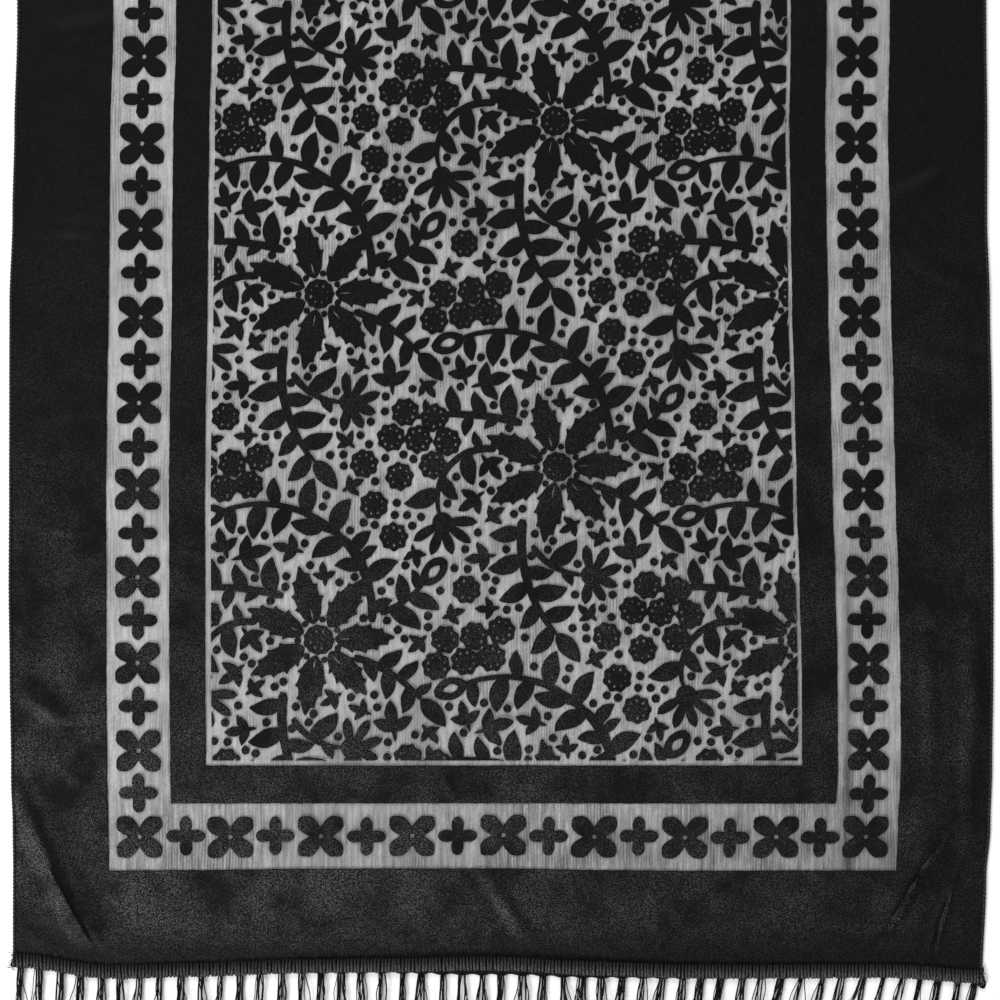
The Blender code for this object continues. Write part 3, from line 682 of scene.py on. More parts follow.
def border_places():
    """Centres of the broad and of the narrow motifs, all round the border."""
    side = WIDTH / 2.0 - SIDE_MARGIN - SIDE_BAND / 2.0
    end = LENGTH / 2.0 - END_MARGIN - END_BAND / 2.0
    for half_step in range(2 * MOTIFS_ACROSS + 1):
        s = -side + side * half_step / MOTIFS_ACROSS
        yield s, -end, half_step % 2
        yield s, end, half_step % 2
    for half_step in range(1, 2 * MOTIFS_ALONG):
        t = -end + end * half_step / MOTIFS_ALONG
        yield -side, t, half_step % 2
        yield side, t, half_step % 2


def border_motifs(material, draws):
    """Broad and narrow quatrefoils, in turn, all round the border."""
    loops, holes = [], []
    for s, t, narrow in border_places():
        centre = (s + draws.uniform(-1, 1) * MOTIF_SHIFT, t + draws.uniform(-1, 1) * MOTIF_SHIFT)
        if narrow:
            loops.append(quatrefoil(centre, NARROW, draws))
            holes.append(ring(centre, PINHOLE * 0.5, 6))
        else:
            at_end = abs(t) > LENGTH / 2.0 - END_MARGIN - END_BAND
            at_side = LEFT_STRETCH if s < 0.0 else RIGHT_STRETCH
            loops.append(quatrefoil(centre, BROAD, draws, END_STRETCH if at_end else at_side))
            holes.append(ring(centre, PINHOLE, 8))
    loose = [p for loop in loops for p in ring(np.mean(loop, axis=0).tolist(), CORE, 8)]
    points, triangles, inside = triangulate(loops + holes, loose)
    kept = [tri for tri, within in zip(triangles, inside) if len(within) == 1 and within[0] < len(loops)]
    return raise_pile("border_motifs", points, kept, material)


# ================================================================ flower repeat, in millimetres
# Drawn by rule from the middle of the large flower: stems are plain arcs, leaves take the room that
# they have, blossoms stand in sets, and dots fill the gaps.
FLOWER_PETALS = 7
PETAL_REACH, PETAL_WIDE, PETAL_ROOT = 43.0, 15.5, 9.1
SLIT_START, SLIT_LONG, SLIT_WIDE = 12.0, 6.5, 0.9
DISC, DISC_RIPPLE, DISC_SCALLOPS = 8.5, 0.035, 11
EYE_DOT, EYE_DOT_REACH = 1.9, 11.8

Stem = namedtuple("Stem", "x y heading bend long wide leaves tip")
STEMS = [
    # beside the flower and over it
    Stem(30, 10, 85, 115, 125, 4.8, 14, "bud"), Stem(25, 25, 70, 100, 50, 4.2, 6, "leaf"),
    # away to the left, and its arc
    Stem(-20, 25, 165, 25, 65, 4.6, 8, "leaf"), Stem(-35, 10, 170, 120, 60, 4.2, 6, "hand"),
    # down from the flower
    Stem(-20, -30, -100, 50, 70, 5.4, 9, "leaf"), Stem(-15, -45, -60, 60, 35, 4.0, 4, "fan"),
    # to the right
    Stem(20, -10, -15, -35, 45, 4.4, 6, "leaf"), Stem(35, 15, 20, 30, 30, 3.8, 4, "bud"),
]
BlossomSet = namedtuple("BlossomSet", "x y turn rows")
BLOSSOM_SETS = [BlossomSet(85, -5, 10, (3, 3)), BlossomSet(60, -80, 55, (2, 2, 2))]
BLOSSOM, BLOSSOM_RIPPLE, BLOSSOM_SCALLOPS = 7.9, 0.075, 8
BLOSSOM_PITCH = 16.2
PINHOLES, PINHOLE_REACH = 8, 5.0    # small holes round an eye
BUD_LONG, BUD_WIDE = 19.0, 12.5
BUD_EYE_START, BUD_EYE_LONG, BUD_EYE_WIDE = 5.0, 9.0, 4.8
FINGER_LONG, FINGER_WIDE, PALM = 18.0, 6.2, 6.0
FINGERS = {"fan": (6, -100, 40), "hand": (5, -75, 37)}    # how many, turn of the first, and of each next
DOT = 2.45
LEAF_LONG, LEAF_SHORT, LEAF_WIDE, LEAF_SLIM = 21, 8, 11.5, 0.50
LEAF_ANGLES = (44, 34, 58, 74)    # from the stem, the likeliest first
SPRIGS = (1.35, 1.1, 0.85, 0.65)  # sizes of the small sprigs, the largest first
SPRIG_TURNS = 10          # ways that each sprig is tried
STALK = 2.6
CLEAR = 1.3               # sheer gap kept between one motif and the next
FOOT = 8.0                # stretch of a leaf by its stem where no gap is kept
GRAIN = 0.6               # steps at which the room left is known
FAR = 12.0                # the most room that is told apart


class Room:
    """How far each place of the repeat lies from what is drawn in it and in the repeats beside it."""

    def __init__(self):
        """An empty repeat."""
        self.wide, self.high = COLUMN_PITCH / MM, REPEAT / MM
        across, along = np.arange(0.0, self.wide, GRAIN), np.arange(0.0, self.high, GRAIN)
        self.x, self.y = np.meshgrid(across, along)
        self.gap = np.full(self.x.shape, FAR)

    def take(self, points, slack=0.0):
        """Marks a motif no wider than half a repeat, with the slack that is left beside it."""
        points = np.asarray(points, float)
        middle = points.mean(axis=0)
        reach = np.hypot(*(points - middle).T).max() + FAR
        column = np.round((self.x - middle[0]) / self.wide)
        dx = self.x - middle[0] - column * self.wide
        dy = self.y - middle[1] - column * self.high / 2.0
        dy -= np.round(dy / self.high) * self.high
        near = np.hypot(dx, dy) < reach
        away = np.full(int(near.sum()), FAR)
        for x, y in points - middle:
            away = np.minimum(away, np.hypot(dx[near] - x, dy[near] - y) - slack)
        self.gap[near] = np.minimum(self.gap[near], away)

    def left(self, points):
        """The room at each of some places."""
        x, y = np.asarray(points, float).T
        column = np.floor(x / self.wide)
        x, y = x - column * self.wide, (y - column * self.high / 2.0) % self.high
        rows, columns = self.gap.shape
        return self.gap[(y / GRAIN).astype(int) % rows, (x / GRAIN).astype(int) % columns]


def arc_route(stem):
    """Points at about equal steps along a stem that bends evenly."""
    count = round(stem.long / 2.6)
    x, y, route = stem.x, stem.y, []
    for i in range(count + 1):
        route.append((x, y))
        a = math.radians(stem.heading + stem.bend * (i + 0.5) / count)
        x, y = x + math.cos(a) * stem.long / count, y + math.sin(a) * stem.long / count
    return route


def turned(centre, turn, away):
    """The place at a distance from a centre, at a turn in degrees."""
    a = math.radians(turn)
    return centre[0] + away * math.cos(a), centre[1] + away * math.sin(a)


def heading_of(start, stop):
    """The heading from one place to another, in degrees."""
    return math.degrees(math.atan2(stop[1] - start[1], stop[0] - start[0]))


def ribbon(route, halves):
    """Closed outline at half widths on both sides of a route, from the middle of its right side."""
    left, right = [], []
    for i, (x, y) in enumerate(route):
        x0, y0 = route[max(i - 1, 0)]
        x1, y1 = route[min(i + 1, len(route) - 1)]
        long = math.hypot(x1 - x0, y1 - y0)
        off_x, off_y = -(y1 - y0) / long * halves[i], (x1 - x0) / long * halves[i]
        left.append((x + off_x, y + off_y))
        right.append((x - off_x, y - off_y))
    middle = len(right) // 2
    return right[middle:] + left[::-1] + right[:middle]


def stem_outline(stem, route):
    """A stem that thins towards its tip, with its foot drawn in."""
    last = len(route) - 1
    return ribbon(route, [stem.wide / 2 * (1.0 - 0.5 * (i / last) ** 2) * (0.6 if i == 0 else 1.0)
                          for i in range(last + 1)])


def blade(foot, turn, long, wide, bow, profile, count=9):
    """A blade along a bowed midrib; the profile gives its half width from foot to tip, 0 to 1."""
    route, halves = [], []
    for i in range(count + 1):
        u = i / count
        route.append(turned(turned(foot, turn, long * u), turn + 90.0, bow * 4 * u * (1 - u)))
        halves.append(max(0.25, wide / 2 * profile(u)))
    return ribbon(route, halves)


def leaf_profile(u):
    """A leaf, pointed at both ends and widest before its middle."""
    return math.sin(math.pi * u ** 0.86) ** 0.74 if 0.0 < u < 1.0 else 0.0


def finger_profile(u):
    """A finger of a fan, narrow at its foot and round at its tip."""
    return min(1.0, 0.40 + 0.95 * u) * (1.0 - u ** 6) ** 0.55


def loop_profile(u):
    """A bud or a stalk, round at both ends."""
    return min(1.0, math.sin(math.pi * min(u * 0.94 + 0.03, 1.0)) ** 0.55)


# Teeth of a petal: how far along its edge each one stands, on either side.
TEETH = [
    ((0.28, 0.50, 0.70, 0.87), (0.38, 0.60, 0.80)),
    ((0.34, 0.57, 0.78), (0.25, 0.46, 0.68, 0.86)),
    ((0.42, 0.64, 0.84), (0.31, 0.54, 0.75)),
]
TOOTH_RISE, TOOTH_FALL = 0.075, 0.022    # stretch of the edge before and after a tooth's point
TOOTH_OUT, TOOTH_IN = 0.17, 0.10


def petal_half(u):
    """Half width of a petal without its teeth, 0 to 1 along it."""
    return math.sin(math.pi * u ** 0.80) ** 0.86


def petal_edge(teeth):
    """(along, half width) from foot to tip, with a point at each tooth and a notch after it."""
    edge = [(u, petal_half(u)) for u in (0.02, 0.07, 0.14)]
    for tooth in teeth:
        edge += [(tooth - TOOTH_RISE, petal_half(tooth - TOOTH_RISE) - TOOTH_IN / 3),
                 (tooth, petal_half(tooth) + TOOTH_OUT),
                 (tooth + TOOTH_FALL, petal_half(tooth + TOOTH_FALL) - TOOTH_IN)]
    return edge + [(0.96, 0.14)]


def petal_outline(turn, reach, kind):
    """A toothed petal, like a holly leaf."""
    def at(along, aside):
        """A place on the petal: a share of its length along, and of its half width aside."""
        return turned(turned((0.0, 0.0), turn, PETAL_ROOT + along * (reach - PETAL_ROOT)), turn + 90.0,
                      aside * PETAL_WIDE / 2)

    left_teeth, right_teeth = TEETH[kind % len(TEETH)][::1 if kind % 2 else -1]
    right = [at(along, -wide) for along, wide in petal_edge(right_teeth)]
    left = [at(along, wide) for along, wide in petal_edge(left_teeth)]
    return right[3:] + [at(1.0, 0.0)] + left[::-1] + [at(0.0, 0.0)] + right[:3]


class Repeat:
    """Outlines of one repeat: the pile that stays, what is burnt out of it, and the room left."""

    def __init__(self):
        """A repeat with nothing drawn yet."""
        self.stays, self.burnt, self.eyes = [], [], []
        self.room = Room()
        self.draws = random.Random(5)

    def keep(self, loop):
        """Adds a motif, and takes the room that it covers."""
        self.stays.append(loop)
        flat = np.asarray(loop)
        middle = flat.mean(axis=0)
        filled = [middle + (flat - middle) * part for part in (1.0, 0.7, 0.4, 0.1)]
        self.room.take(np.concatenate(filled))

    def fits(self, loop, foot):
        """Whether a leaf stays clear of all else, but for the stretch by its foot."""
        free = [p for p in loop if math.dist(p, foot) > FOOT]
        return len(free) > 3 and self.room.left(free).min() > CLEAR

    def flower(self):
        """The large flower: toothed petals, most with a slit, dots between them, a scalloped disc."""
        for i in range(FLOWER_PETALS):
            turn = 2.0 + 360.0 * i / FLOWER_PETALS
            self.keep(petal_outline(turn, PETAL_REACH + self.draws.uniform(-1.5, 1.5), i))
            self.keep(ring(turned((0.0, 0.0), turn + 180.0 / FLOWER_PETALS, EYE_DOT_REACH), EYE_DOT, 9))
            if i % 3 != 1:
                slit = turned((0.0, 0.0), turn, SLIT_START)
                self.burnt.append(blade(slit, turn, SLIT_LONG, SLIT_WIDE, 0.0, leaf_profile, 6))
        self.keep(ring((0.0, 0.0), DISC, 44, 0.0, DISC_RIPPLE, DISC_SCALLOPS))
        self.eyes.append((0.0, 0.0))

    def blossom(self, spot):
        """A scalloped blossom."""
        self.eyes.append(spot)
        self.keep(ring(spot, BLOSSOM, 40, len(self.eyes) * 0.7, BLOSSOM_RIPPLE, BLOSSOM_SCALLOPS))

    def blossom_sets(self):
        """Blossoms close together, in staggered rows."""
        for group in BLOSSOM_SETS:
            for row, many in enumerate(group.rows):
                for i in range(many):
                    along = (i - (many - 1) / 2 + (0.25 if row % 2 else -0.25)) * BLOSSOM_PITCH
                    up = (row - (len(group.rows) - 1) / 2) * BLOSSOM_PITCH * 0.9
                    spot = turned(turned(group[:2], group.turn, along), group.turn + 90.0, up)
                    self.blossom(tuple(place + self.draws.uniform(-0.8, 0.8) for place in spot))

    def tip(self, kind, end, heading):
        """What a stem ends in: a leaf, a bud with an eye, or a fan of fingers."""
        if kind == "leaf":
            for long in range(LEAF_LONG, LEAF_SHORT, -1):
                loop = blade(end, heading, long, LEAF_SLIM * long, 0.5, leaf_profile)
                if self.fits(loop, end):
                    return self.keep(loop)
        elif kind == "bud":
            self.keep(blade(end, heading, BUD_LONG, BUD_WIDE, 0.0, loop_profile, 10))
            eye = turned(end, heading, BUD_EYE_START)
            self.burnt.append(blade(eye, heading, BUD_EYE_LONG, BUD_EYE_WIDE, 0.0, leaf_profile, 6))
        else:
            many, first, step = FINGERS[kind]
            middle = turned(end, heading, 4.0)
            self.keep(ring(middle, PALM, 14))
            for k in range(many):
                long = FINGER_LONG + self.draws.uniform(-2.0, 2.0)
                bow = self.draws.uniform(-0.8, 0.8)
                turn = heading + first + step * k
                self.keep(blade(middle, turn, long, FINGER_WIDE, bow, finger_profile, 8))

    def leaf_beside(self, foot, heading, side):
        """The largest leaf that fits on one side of a stem."""
        longest = LEAF_LONG - self.draws.choice((0, 0, 2, 5))
        for long in range(longest, LEAF_SHORT, -2):
            for angle in LEAF_ANGLES:
                wide = min(LEAF_WIDE, LEAF_SLIM * long)
                loop = blade(foot, heading + side * angle, long, wide, -side * 0.10 * long, leaf_profile)
                if self.fits(loop, foot):
                    return self.keep(loop)

    def stems(self):
        """All stems first, then what they end in, then their leaves."""
        routes = [arc_route(stem) for stem in STEMS]
        for stem, route in zip(STEMS, routes):
            self.stays.append(stem_outline(stem, route))
            for start in range(0, len(route), 6):
                self.room.take(route[start:start + 6], stem.wide / 2 - 1.2)
        for stem, route in zip(STEMS, routes):
            self.tip(stem.tip, route[-1], heading_of(route[-2], route[-1]))
        for stem, route in zip(STEMS, routes):
            for k in range(stem.leaves):
                i = round((k + 0.7) / stem.leaves * (len(route) - 2))
                self.leaf_beside(route[i], heading_of(route[i], route[i + 1]), 1 if k % 2 else -1)

    def places(self, step):
        """Places all over the repeat, at about a step from each other and in no order."""
        spots = []
        for row in range(round(self.room.high / step / STAGGER)):
            for column in range(round(self.room.wide / step)):
                x = (column + 0.5 * (row % 2) + self.draws.uniform(-0.3, 0.3)) * step
                spots.append((x, (row * STAGGER + self.draws.uniform(-0.3, 0.3)) * step))
        self.draws.shuffle(spots)
        return spots

    def sprig(self, spot, turn, size):
        """Outlines of a short stalk with a leaf at its end and one on each side."""
        middle, top = turned(spot, turn, 5.0 * size), turned(spot, turn, 8.5 * size)
        return [blade(spot, turn, 11.0 * size, STALK, 0.0, loop_profile, 5),
                blade(top, turn, 13.0 * size, 6.8 * size, 0.5, leaf_profile),
                blade(middle, turn + 58.0, 12.0 * size, 6.2 * size, -0.8, leaf_profile),
                blade(middle, turn - 58.0, 12.0 * size, 6.2 * size, 0.8, leaf_profile)]

    def fill(self):
        """Single blossoms, sprigs and dots, where there is room."""
        for spot in self.places(4.0):
            if self.room.left([spot])[0] > BLOSSOM + CLEAR:
                self.blossom(spot)
        for size in SPRIGS:
            for spot in self.places(3.5):
                first = self.draws.uniform(0.0, 360.0)
                if self.room.left([spot])[0] < STALK / 2 + CLEAR:
                    continue
                for k in range(SPRIG_TURNS):
                    loops = self.sprig(spot, first + 360.0 * k / SPRIG_TURNS, size)
                    if self.room.left([place for loop in loops for place in loop]).min() > CLEAR:
                        for loop in loops:
                            self.keep(loop)
                        break
        for spot in self.places(1.8):
            if self.room.left([spot])[0] > DOT + CLEAR * 0.8:
                self.keep(ring(spot, DOT, 10, len(self.stays) * 0.5))

    def pinholes(self):
        """A ring of small holes, of uneven sizes, in the flower's disc and in each blossom."""
        for i, spot in enumerate(self.eyes):
            for k in range(PINHOLES):
                size = 0.62 + 0.30 * ((k * 5 + i * 3) % 7) / 6
                turn = 17.0 + 52.0 * i + 360.0 / PINHOLES * k
                self.burnt.append(ring(turned(spot, turn, PINHOLE_REACH), size, 6))


def flower_repeat():
    """Outlines of one repeat, in millimetres: the pile that stays, and what is burnt out of it."""
    repeat = Repeat()
    repeat.flower()
    repeat.blossom_sets()
    repeat.stems()
    repeat.fill()
    repeat.pinholes()
    return repeat.stays, repeat.burnt


def flower_field(material, draws):
    """The field of flowers, in three lengths of pile."""
    gap_left, gap_right, gap_end = PATTERN_GAP
    wide = WIDTH / 2.0 - SIDE_MARGIN - SIDE_BAND - SIDE_FRAME
    long = LENGTH / 2.0 - END_MARGIN - END_BAND - END_FRAME
    left, right, near, far = -wide + gap_left, wide - gap_right, -long + gap_end, long - gap_end
    field = rectangle(left, right, near, far, FLOWER_GRID)
    stays, burnt = flower_repeat()
    loops, rows_of, gone = [field], [None], []
    for column in COLUMNS:
        for row in ROWS:
            s0 = FIRST_FLOWER[0] + column * COLUMN_PITCH
            t0 = FIRST_FLOWER[1] + (REPEAT / 2.0 if column % 2 else 0.0) + row * REPEAT
            for outlines, into in ((stays, loops), (burnt, gone)):
                for outline in outlines:
                    placed = [(s0 + x * MM, t0 + y * MM) for x, y in outline]
                    if any(left < s < right and near < t < far for s, t in placed):
                        into.append(uneven(placed, UNEVEN_CUT, draws))
                        if into is loops:
                            rows_of.append(placed[0][1])
    first_gone = len(loops)
    loose = staggered_grid(left, right, near, far, FLOWER_GRID)
    points, triangles, inside = triangulate(loops + gone, loose)
    thirds = {"flowers_near": [], "flowers_middle": [], "flowers_far": []}
    names = list(thirds)
    for triangle, within in zip(triangles, inside):
        if 0 in within and len(within) > 1 and max(within) < first_gone:
            part = (rows_of[max(within)] - near) / (far - near)
            thirds[names[min(max(int(part * 3), 0), 2)]].append(triangle)
    return [raise_pile(name, points, kept, material) for name, kept in thirds.items()]


# ================================================================ hems, braids and fringes
def hem(name, sign, material):
    """The rolled long edge, wrapped by overlock stitches."""
    half = LENGTH / 2.0 - HEM_SHORT
    count = round(2.0 * half / HEM_STEP)
    t = np.linspace(-half, half, count + 1)
    s = np.full_like(t, sign * (WIDTH / 2.0 - HEM_RADIUS))
    route = laid(np.stack((s, t, np.full_like(t, HEM_HEIGHT)), axis=1))
    radius = HEM_RADIUS + HEM_WRAP * np.where(np.arange(count + 1) % 2, 1.0, -1.0)
    route[:, 2] = np.maximum(route[:, 2], radius + FLOOR_GAP)
    return tubes(name, [np.column_stack((route, radius))], 6, material, "body")


def end_line(s, sign, out):
    """Points at a distance out from a cut end, with the end's own wander."""
    x, y = lay(s, np.full_like(s, sign * LENGTH / 2.0))
    return x, y + sign * out


def end_point(s, sign, out):
    """One such point."""
    x, y = end_line(np.array([s]), sign, out)
    return float(x[0]), float(y[0])


# How far the trim sits out from the cut end (+) or back over the cloth (-), how far its tape shows
# below the ribs, and how high it is raised, across the stole.
Sewn = namedtuple("Sewn", "across out tape raised")
SEWN = [Sewn(*row) for row in (
    (-0.280, 0.0000, 0.0004, 0.0), (-0.228, 0.0011, 0.0004, 0.0), (-0.150, 0.0004, 0.0004, 0.0003),
    (-0.070, -0.0002, 0.0012, 0.0009), (-0.012, -0.0013, 0.0034, 0.0014),
    (0.045, -0.0006, 0.0026, 0.0014), (0.100, 0.0006, 0.0010, 0.0008), (0.200, 0.0010, 0.0004, 0.0),
    (0.280, 0.0000, 0.0004, 0.0),
)]
TRIM_MIDDLE = -0.0010     # middle of the ribs from the cut end
RIB_LENGTH = 0.0070
TRIM_HEIGHT = 0.0024
# One rib: share of its length from its middle, and how far its thread rises or dips there.
RIB_RISE = [(-0.50, -0.0006), (-0.475, 0.0002), (-0.40, 0.0003), (0.0, 0.0003), (0.40, 0.0003),
            (0.475, 0.0001), (0.50, -0.0008)]
# The tape's section: share of its depth from the cloth outwards, and height.
TAPE_SECTION = [(0.0, 0.0016), (0.35, 0.0022), (0.8, 0.0021), (1.0, 0.0011), (1.0, 0.0004),
                (0.3, 0.0004)]
TAPE_SCALLOP = 0.0005
TAPE_STEPS = 8            # points across each scallop
FRAYED_THREADS, FRAYED_LOOPS = 26, 5
FRAYED_STEPS, FRAYED_STEP = 6, 0.0008


def braid(name, sign, material, draws, replaced):
    """Ribbed braid: one loop of plied yarn after another over a narrow tape."""
    first = -WIDTH / 2.0 + RIB_RADIUS
    count = round(-2.0 * first / RIB_PITCH)
    strands = []
    for i in range(count + 1):
        s = first - 2.0 * first * i / count + draws.uniform(-0.00022, 0.00022)
        x, y = end_point(s, sign, TRIM_MIDDLE + float(between(SEWN, "out", sign * -s)))
        tilt = draws.uniform(-0.0003, 0.0003)
        reach = RIB_LENGTH * draws.uniform(0.96, 1.02)
        high = TRIM_HEIGHT + float(between(SEWN, "raised", sign * -s)) + draws.uniform(-0.0002, 0.0002)
        thick = RIB_RADIUS * draws.uniform(0.78, 1.00)
        strands.append([(x + tilt * part * 2.0, y + sign * part * reach, high + up, thick)
                        for part, up in RIB_RISE])
    return tubes(name, strands, 6, material, replaced)


def trim_tape(name, sign, material, draws, replaced):
    """The tape behind the ribs, with small scallops where the bundles leave it."""
    columns = BUNDLES * TAPE_STEPS
    s = np.linspace(-WIDTH / 2.0 + 0.0004, WIDTH / 2.0 - 0.0004, columns + 1)
    shift = between(SEWN, "out", -sign * s) + TRIM_MIDDLE
    outer = shift + RIB_LENGTH / 2.0 + between(SEWN, "tape", -sign * s)
    phase = (s + WIDTH / 2.0 - FIRST_BUNDLE) / (WIDTH - 2.0 * FIRST_BUNDLE) * (BUNDLES - 1)
    wander = np.array([draws.uniform(-0.00012, 0.00012) for _ in s])
    outer = outer + TAPE_SCALLOP * np.cos(math.tau * phase) + wander
    inner = shift - RIB_LENGTH / 2.0 + 0.0004
    points = []
    for part, high in TAPE_SECTION:
        x, y = end_line(s, sign, inner + (outer - inner) * part)
        points.append(np.stack((x, y, np.full_like(s, high)), axis=1))
    faces = []
    wide = columns + 1
    for row in range(len(points) - 1):
        low = row * wide
        faces += [(low + i, low + i + 1, low + wide + i + 1, low + wide + i) for i in range(columns)]
    data = bpy.data.meshes.new(name)
    data.from_pydata(np.concatenate(points).tolist(), [], faces)
    data.shade_smooth()
    return finish_piece(name, data, material, replaced)


def frayed_thread(place, side, straight, draws):
    """One loose thread from where the braid is cut: a straight fine one, or a curled one."""
    place = list(place)
    turn = draws.uniform(-1.4, 1.4) + (math.pi if side < 0 else 0.0)
    curl = draws.uniform(-0.2, 0.2) if straight else draws.choice((-1, 1)) * draws.uniform(0.7, 1.5)
    radius = YARN_RADIUS * (0.32 if straight else draws.uniform(0.4, 0.8))
    stations = []
    for _ in range(FRAYED_STEPS):
        stations.append((*place, radius))
        place[0] += math.cos(turn) * FRAYED_STEP
        place[1] += math.sin(turn) * FRAYED_STEP
        place[2] = max(0.0006, place[2] + draws.uniform(-0.0004, 0.0004))
        turn += curl
    return stations


def frayed_loop(x, y, side, sign, number, draws):
    """One of the loops of yarn that stand out at one end of each braid."""
    wide, high = draws.uniform(0.0008, 0.0022), draws.uniform(0.0022, 0.0040)
    turns = draws.uniform(1.2, 1.8) * math.pi
    return [(x + side * (0.0008 + wide * math.sin(a) + 0.0002 * number),
             y + sign * (0.0030 + high * (0.3 - math.cos(a) * 0.7)),
             0.0012 + 0.0003 * number, YARN_RADIUS * 1.1) for a in np.linspace(0.0, turns, 10)]


def frayed_ends(name, sign, material, draws, replaced):
    """Loose threads where each braid is cut: a tight tuft, a few that stand off, and one looped end."""
    strands = []
    for side in (-1, 1):
        x, y = end_point(side * (WIDTH / 2.0 - 0.0015), sign, TRIM_MIDDLE)
        for thread in range(FRAYED_THREADS):
            place = (x + draws.uniform(-0.0005, 0.0012) * side, y + draws.uniform(-0.0038, 0.0038),
                     draws.uniform(0.0012, 0.0030))
            strands.append(frayed_thread(place, side, thread % 6 == 0, draws))
        if side == -sign:
            strands += [frayed_loop(x, y, side, sign, number, draws) for number in range(FRAYED_LOOPS)]
    return tubes(name, strands, 4, material, replaced)


def slant(s):
    """How far the yarns lean to one side for each length out, across the stole."""
    return LEAN_LEFT + LEAN_MORE * ease(LEAN_FROM, LEAN_TO, s)


def yarn_route(start, sign, lean, draws, reach, radius, spread, wave):
    """One yarn, out of the braid, down to the surface and along it."""
    count = round(reach / YARN_STEP)
    out = np.linspace(-YARN_HIDDEN, reach, count + 1)
    part = np.clip(out / reach, 0.0, 1.0)
    drop = ease(*YARN_DROP, out)
    phase, turns = draws.uniform(0, math.tau), draws.uniform(2.2, 4.5)
    sway = wave * np.sin(part * turns * math.tau + phase) * np.clip(out / YARN_DROP[0], 0.0, 1.0)
    curl = draws.uniform(-0.0025, 0.0025) * part ** 3
    parting = spread * np.clip(out / YARN_SPREAD, 0.0, 1.0)
    x = start[0] + lean * np.maximum(out, 0.0) + parting + sway + curl
    low = radius + 0.0002 + draws.uniform(0.0, 0.0008) * (1.0 + np.sin(part * 9.0 + phase)) / 2.0
    lift_off = draws.uniform(-0.0002, 0.0014) * ease(0.0, 0.010, out)
    z = np.maximum((YARN_EXIT + lift_off) * (1.0 - drop) + low * drop, radius + FLOOR_GAP)
    taper = 1.0 - 0.35 * part ** 12
    return np.column_stack((x, start[1] + sign * out, z, radius * taper))


def fringe(name, sign, material, draws, replaced):
    """Bundles of plied yarns that hang from the braid, with a few finer ends that stray."""
    first = -WIDTH / 2.0 + FIRST_BUNDLE
    thick, thin = [], []
    for bundle in range(BUNDLES):
        s = first - 2.0 * first * bundle / (BUNDLES - 1) + draws.uniform(-0.0007, 0.0007)
        lean = -sign * float(slant(-sign * s)) + draws.uniform(-0.05, 0.05)
        count = draws.choice((2, 3, 3, 3, 3))
        for yarn in range(count):
            side = yarn - (count - 1) / 2.0
            radius = YARN_RADIUS * draws.uniform(0.95, 1.50)
            start = end_point(s + side * YARN_PITCH + draws.uniform(-0.0002, 0.0002), sign, YARN_OUT)
            reach = YARN_LENGTH + draws.uniform(-0.004, 0.003)
            own_lean = lean + draws.uniform(-0.05, 0.05)
            wave = draws.uniform(0.0001, 0.0006)
            thick.append(yarn_route(start, sign, own_lean, draws, reach, radius, side * 0.0004, wave))
        for _ in range(draws.choice((3, 4, 5, 6))):
            radius = YARN_RADIUS * draws.uniform(0.50, 0.75)
            start = end_point(s + draws.uniform(-0.0022, 0.0022), sign, YARN_OUT)
            reach = YARN_LENGTH + draws.uniform(-0.012, 0.004)
            own_lean = lean + draws.uniform(-0.12, 0.12)
            spread, wave = draws.uniform(-0.0035, 0.0035), draws.uniform(0.0003, 0.0012)
            thin.append(yarn_route(start, sign, own_lean, draws, reach, radius, spread, wave))
    return [tubes(name, thick, 6, material, replaced),
            tubes(name + "_fine", thin, 4, material, replaced)]


# ================================================================ surface, camera and light
FLOOR_SIZE = 14.0
AIR_LIGHT = 0.52          # even light from all round
Lamp = namedtuple("Lamp", "name place wide power")
LAMPS = [
    Lamp("left_softbox", (-1.6, -2.9, 2.2), 1.4, 100.0),
    Lamp("back_softbox", (-0.7, 2.2, 2.8), 1.4, 58.0),
]
LAMP_AIM = Vector((0.0, -0.55, 0.0))
CAMERA_PLACE = (-0.0003, -0.5514, 1.351)
LENS, SENSOR = 85.0, 36.0


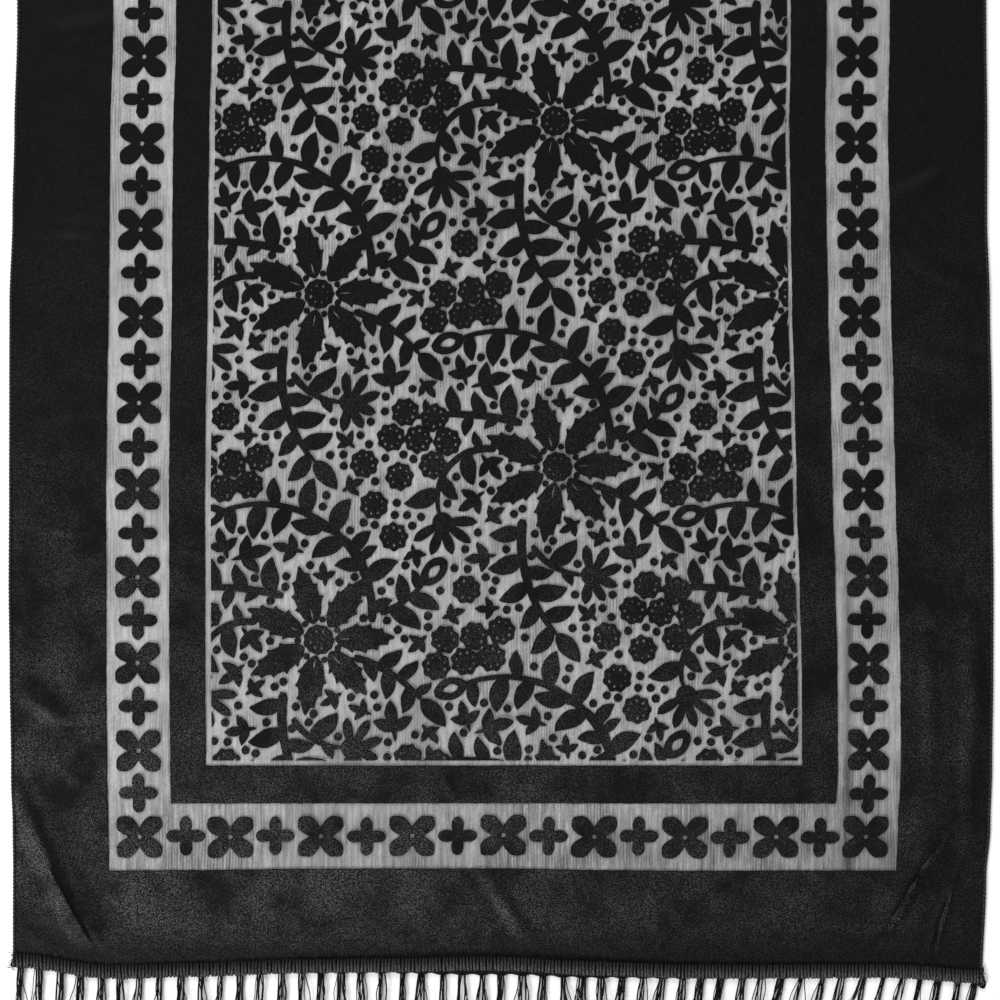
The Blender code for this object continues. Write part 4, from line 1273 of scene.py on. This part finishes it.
def studio(paper):
    """Pale floor, soft light from all round with a little more from the near end."""
    bpy.ops.mesh.primitive_grid_add(x_subdivisions=8, y_subdivisions=8, size=FLOOR_SIZE,
                                    location=(0.0, 0.0, -FLOOR_GAP))
    floor = bpy.context.active_object
    floor.name = "pale_floor"
    floor.data.materials.append(paper)

    world = bpy.data.worlds.new("studio_air")
    world.use_nodes = True
    air = world.node_tree.nodes["Background"]
    air.inputs["Color"].default_value = (1.0, 1.0, 1.0, 1.0)
    air.inputs["Strength"].default_value = AIR_LIGHT
    bpy.context.scene.world = world

    for lamp in LAMPS:
        light = bpy.data.lights.new(lamp.name, "AREA")
        light.size = lamp.wide
        light.energy = lamp.power
        item = bpy.data.objects.new(lamp.name, light)
        item.location = lamp.place
        item.rotation_euler = (LAMP_AIM - Vector(lamp.place)).to_track_quat("-Z", "Y").to_euler()
        bpy.context.scene.collection.objects.link(item)
    return floor


def camera():
    """Straight down on the near half of the stole."""
    view = bpy.data.cameras.new("camera")
    view.lens = LENS
    view.sensor_width = SENSOR
    item = bpy.data.objects.new("camera", view)
    item.location = CAMERA_PLACE
    bpy.context.scene.collection.objects.link(item)
    bpy.context.scene.camera = item


def main():
    """The stole from the ground up: sheer ground, pile, hems, and the trim at each end."""
    bpy.context.scene.view_settings.view_transform = "Standard"
    camera()
    floor = studio(matt_paper())
    velvet, georgette = rayon_velvet(), silk_georgette()
    # The second colour of each yarn is its painted glint.
    braid_yarn = plied_rayon("plied_rayon_braid", "#121313", "#474a4a", 20, 0.14, 0.55, 0.22)
    fringe_yarn = plied_rayon("twisted_rayon_fringe", "#010101", "#101112", 45, 0.32, 0.45, 0.14)
    overlock = plied_rayon("overlock_thread", "#070708", "#2c2d2f", 45, 0.32, 0.6, 0.22)
    tape = woven_tape()
    draws = random.Random(11)
    ground = sheer_ground(georgette)
    pieces = [velvet_margin(velvet, draws), velvet_frame(velvet, draws), border_motifs(velvet, draws)]
    pieces += flower_field(velvet, draws)
    pieces += [hem("hem_left", -1, overlock), hem("hem_right", 1, overlock)]
    for end, sign in (("near", -1), ("far", 1)):
        node = "fringe_" + end
        pieces.append(braid("braid_" + end, sign, braid_yarn, draws, node))
        pieces.append(trim_tape("trim_tape_" + end, sign, tape, draws, node))
        pieces += fringe("fringe_yarns_" + end, sign, fringe_yarn, draws, node)
        pieces.append(frayed_ends("frayed_ends_" + end, sign, fringe_yarn, draws, node))


main()
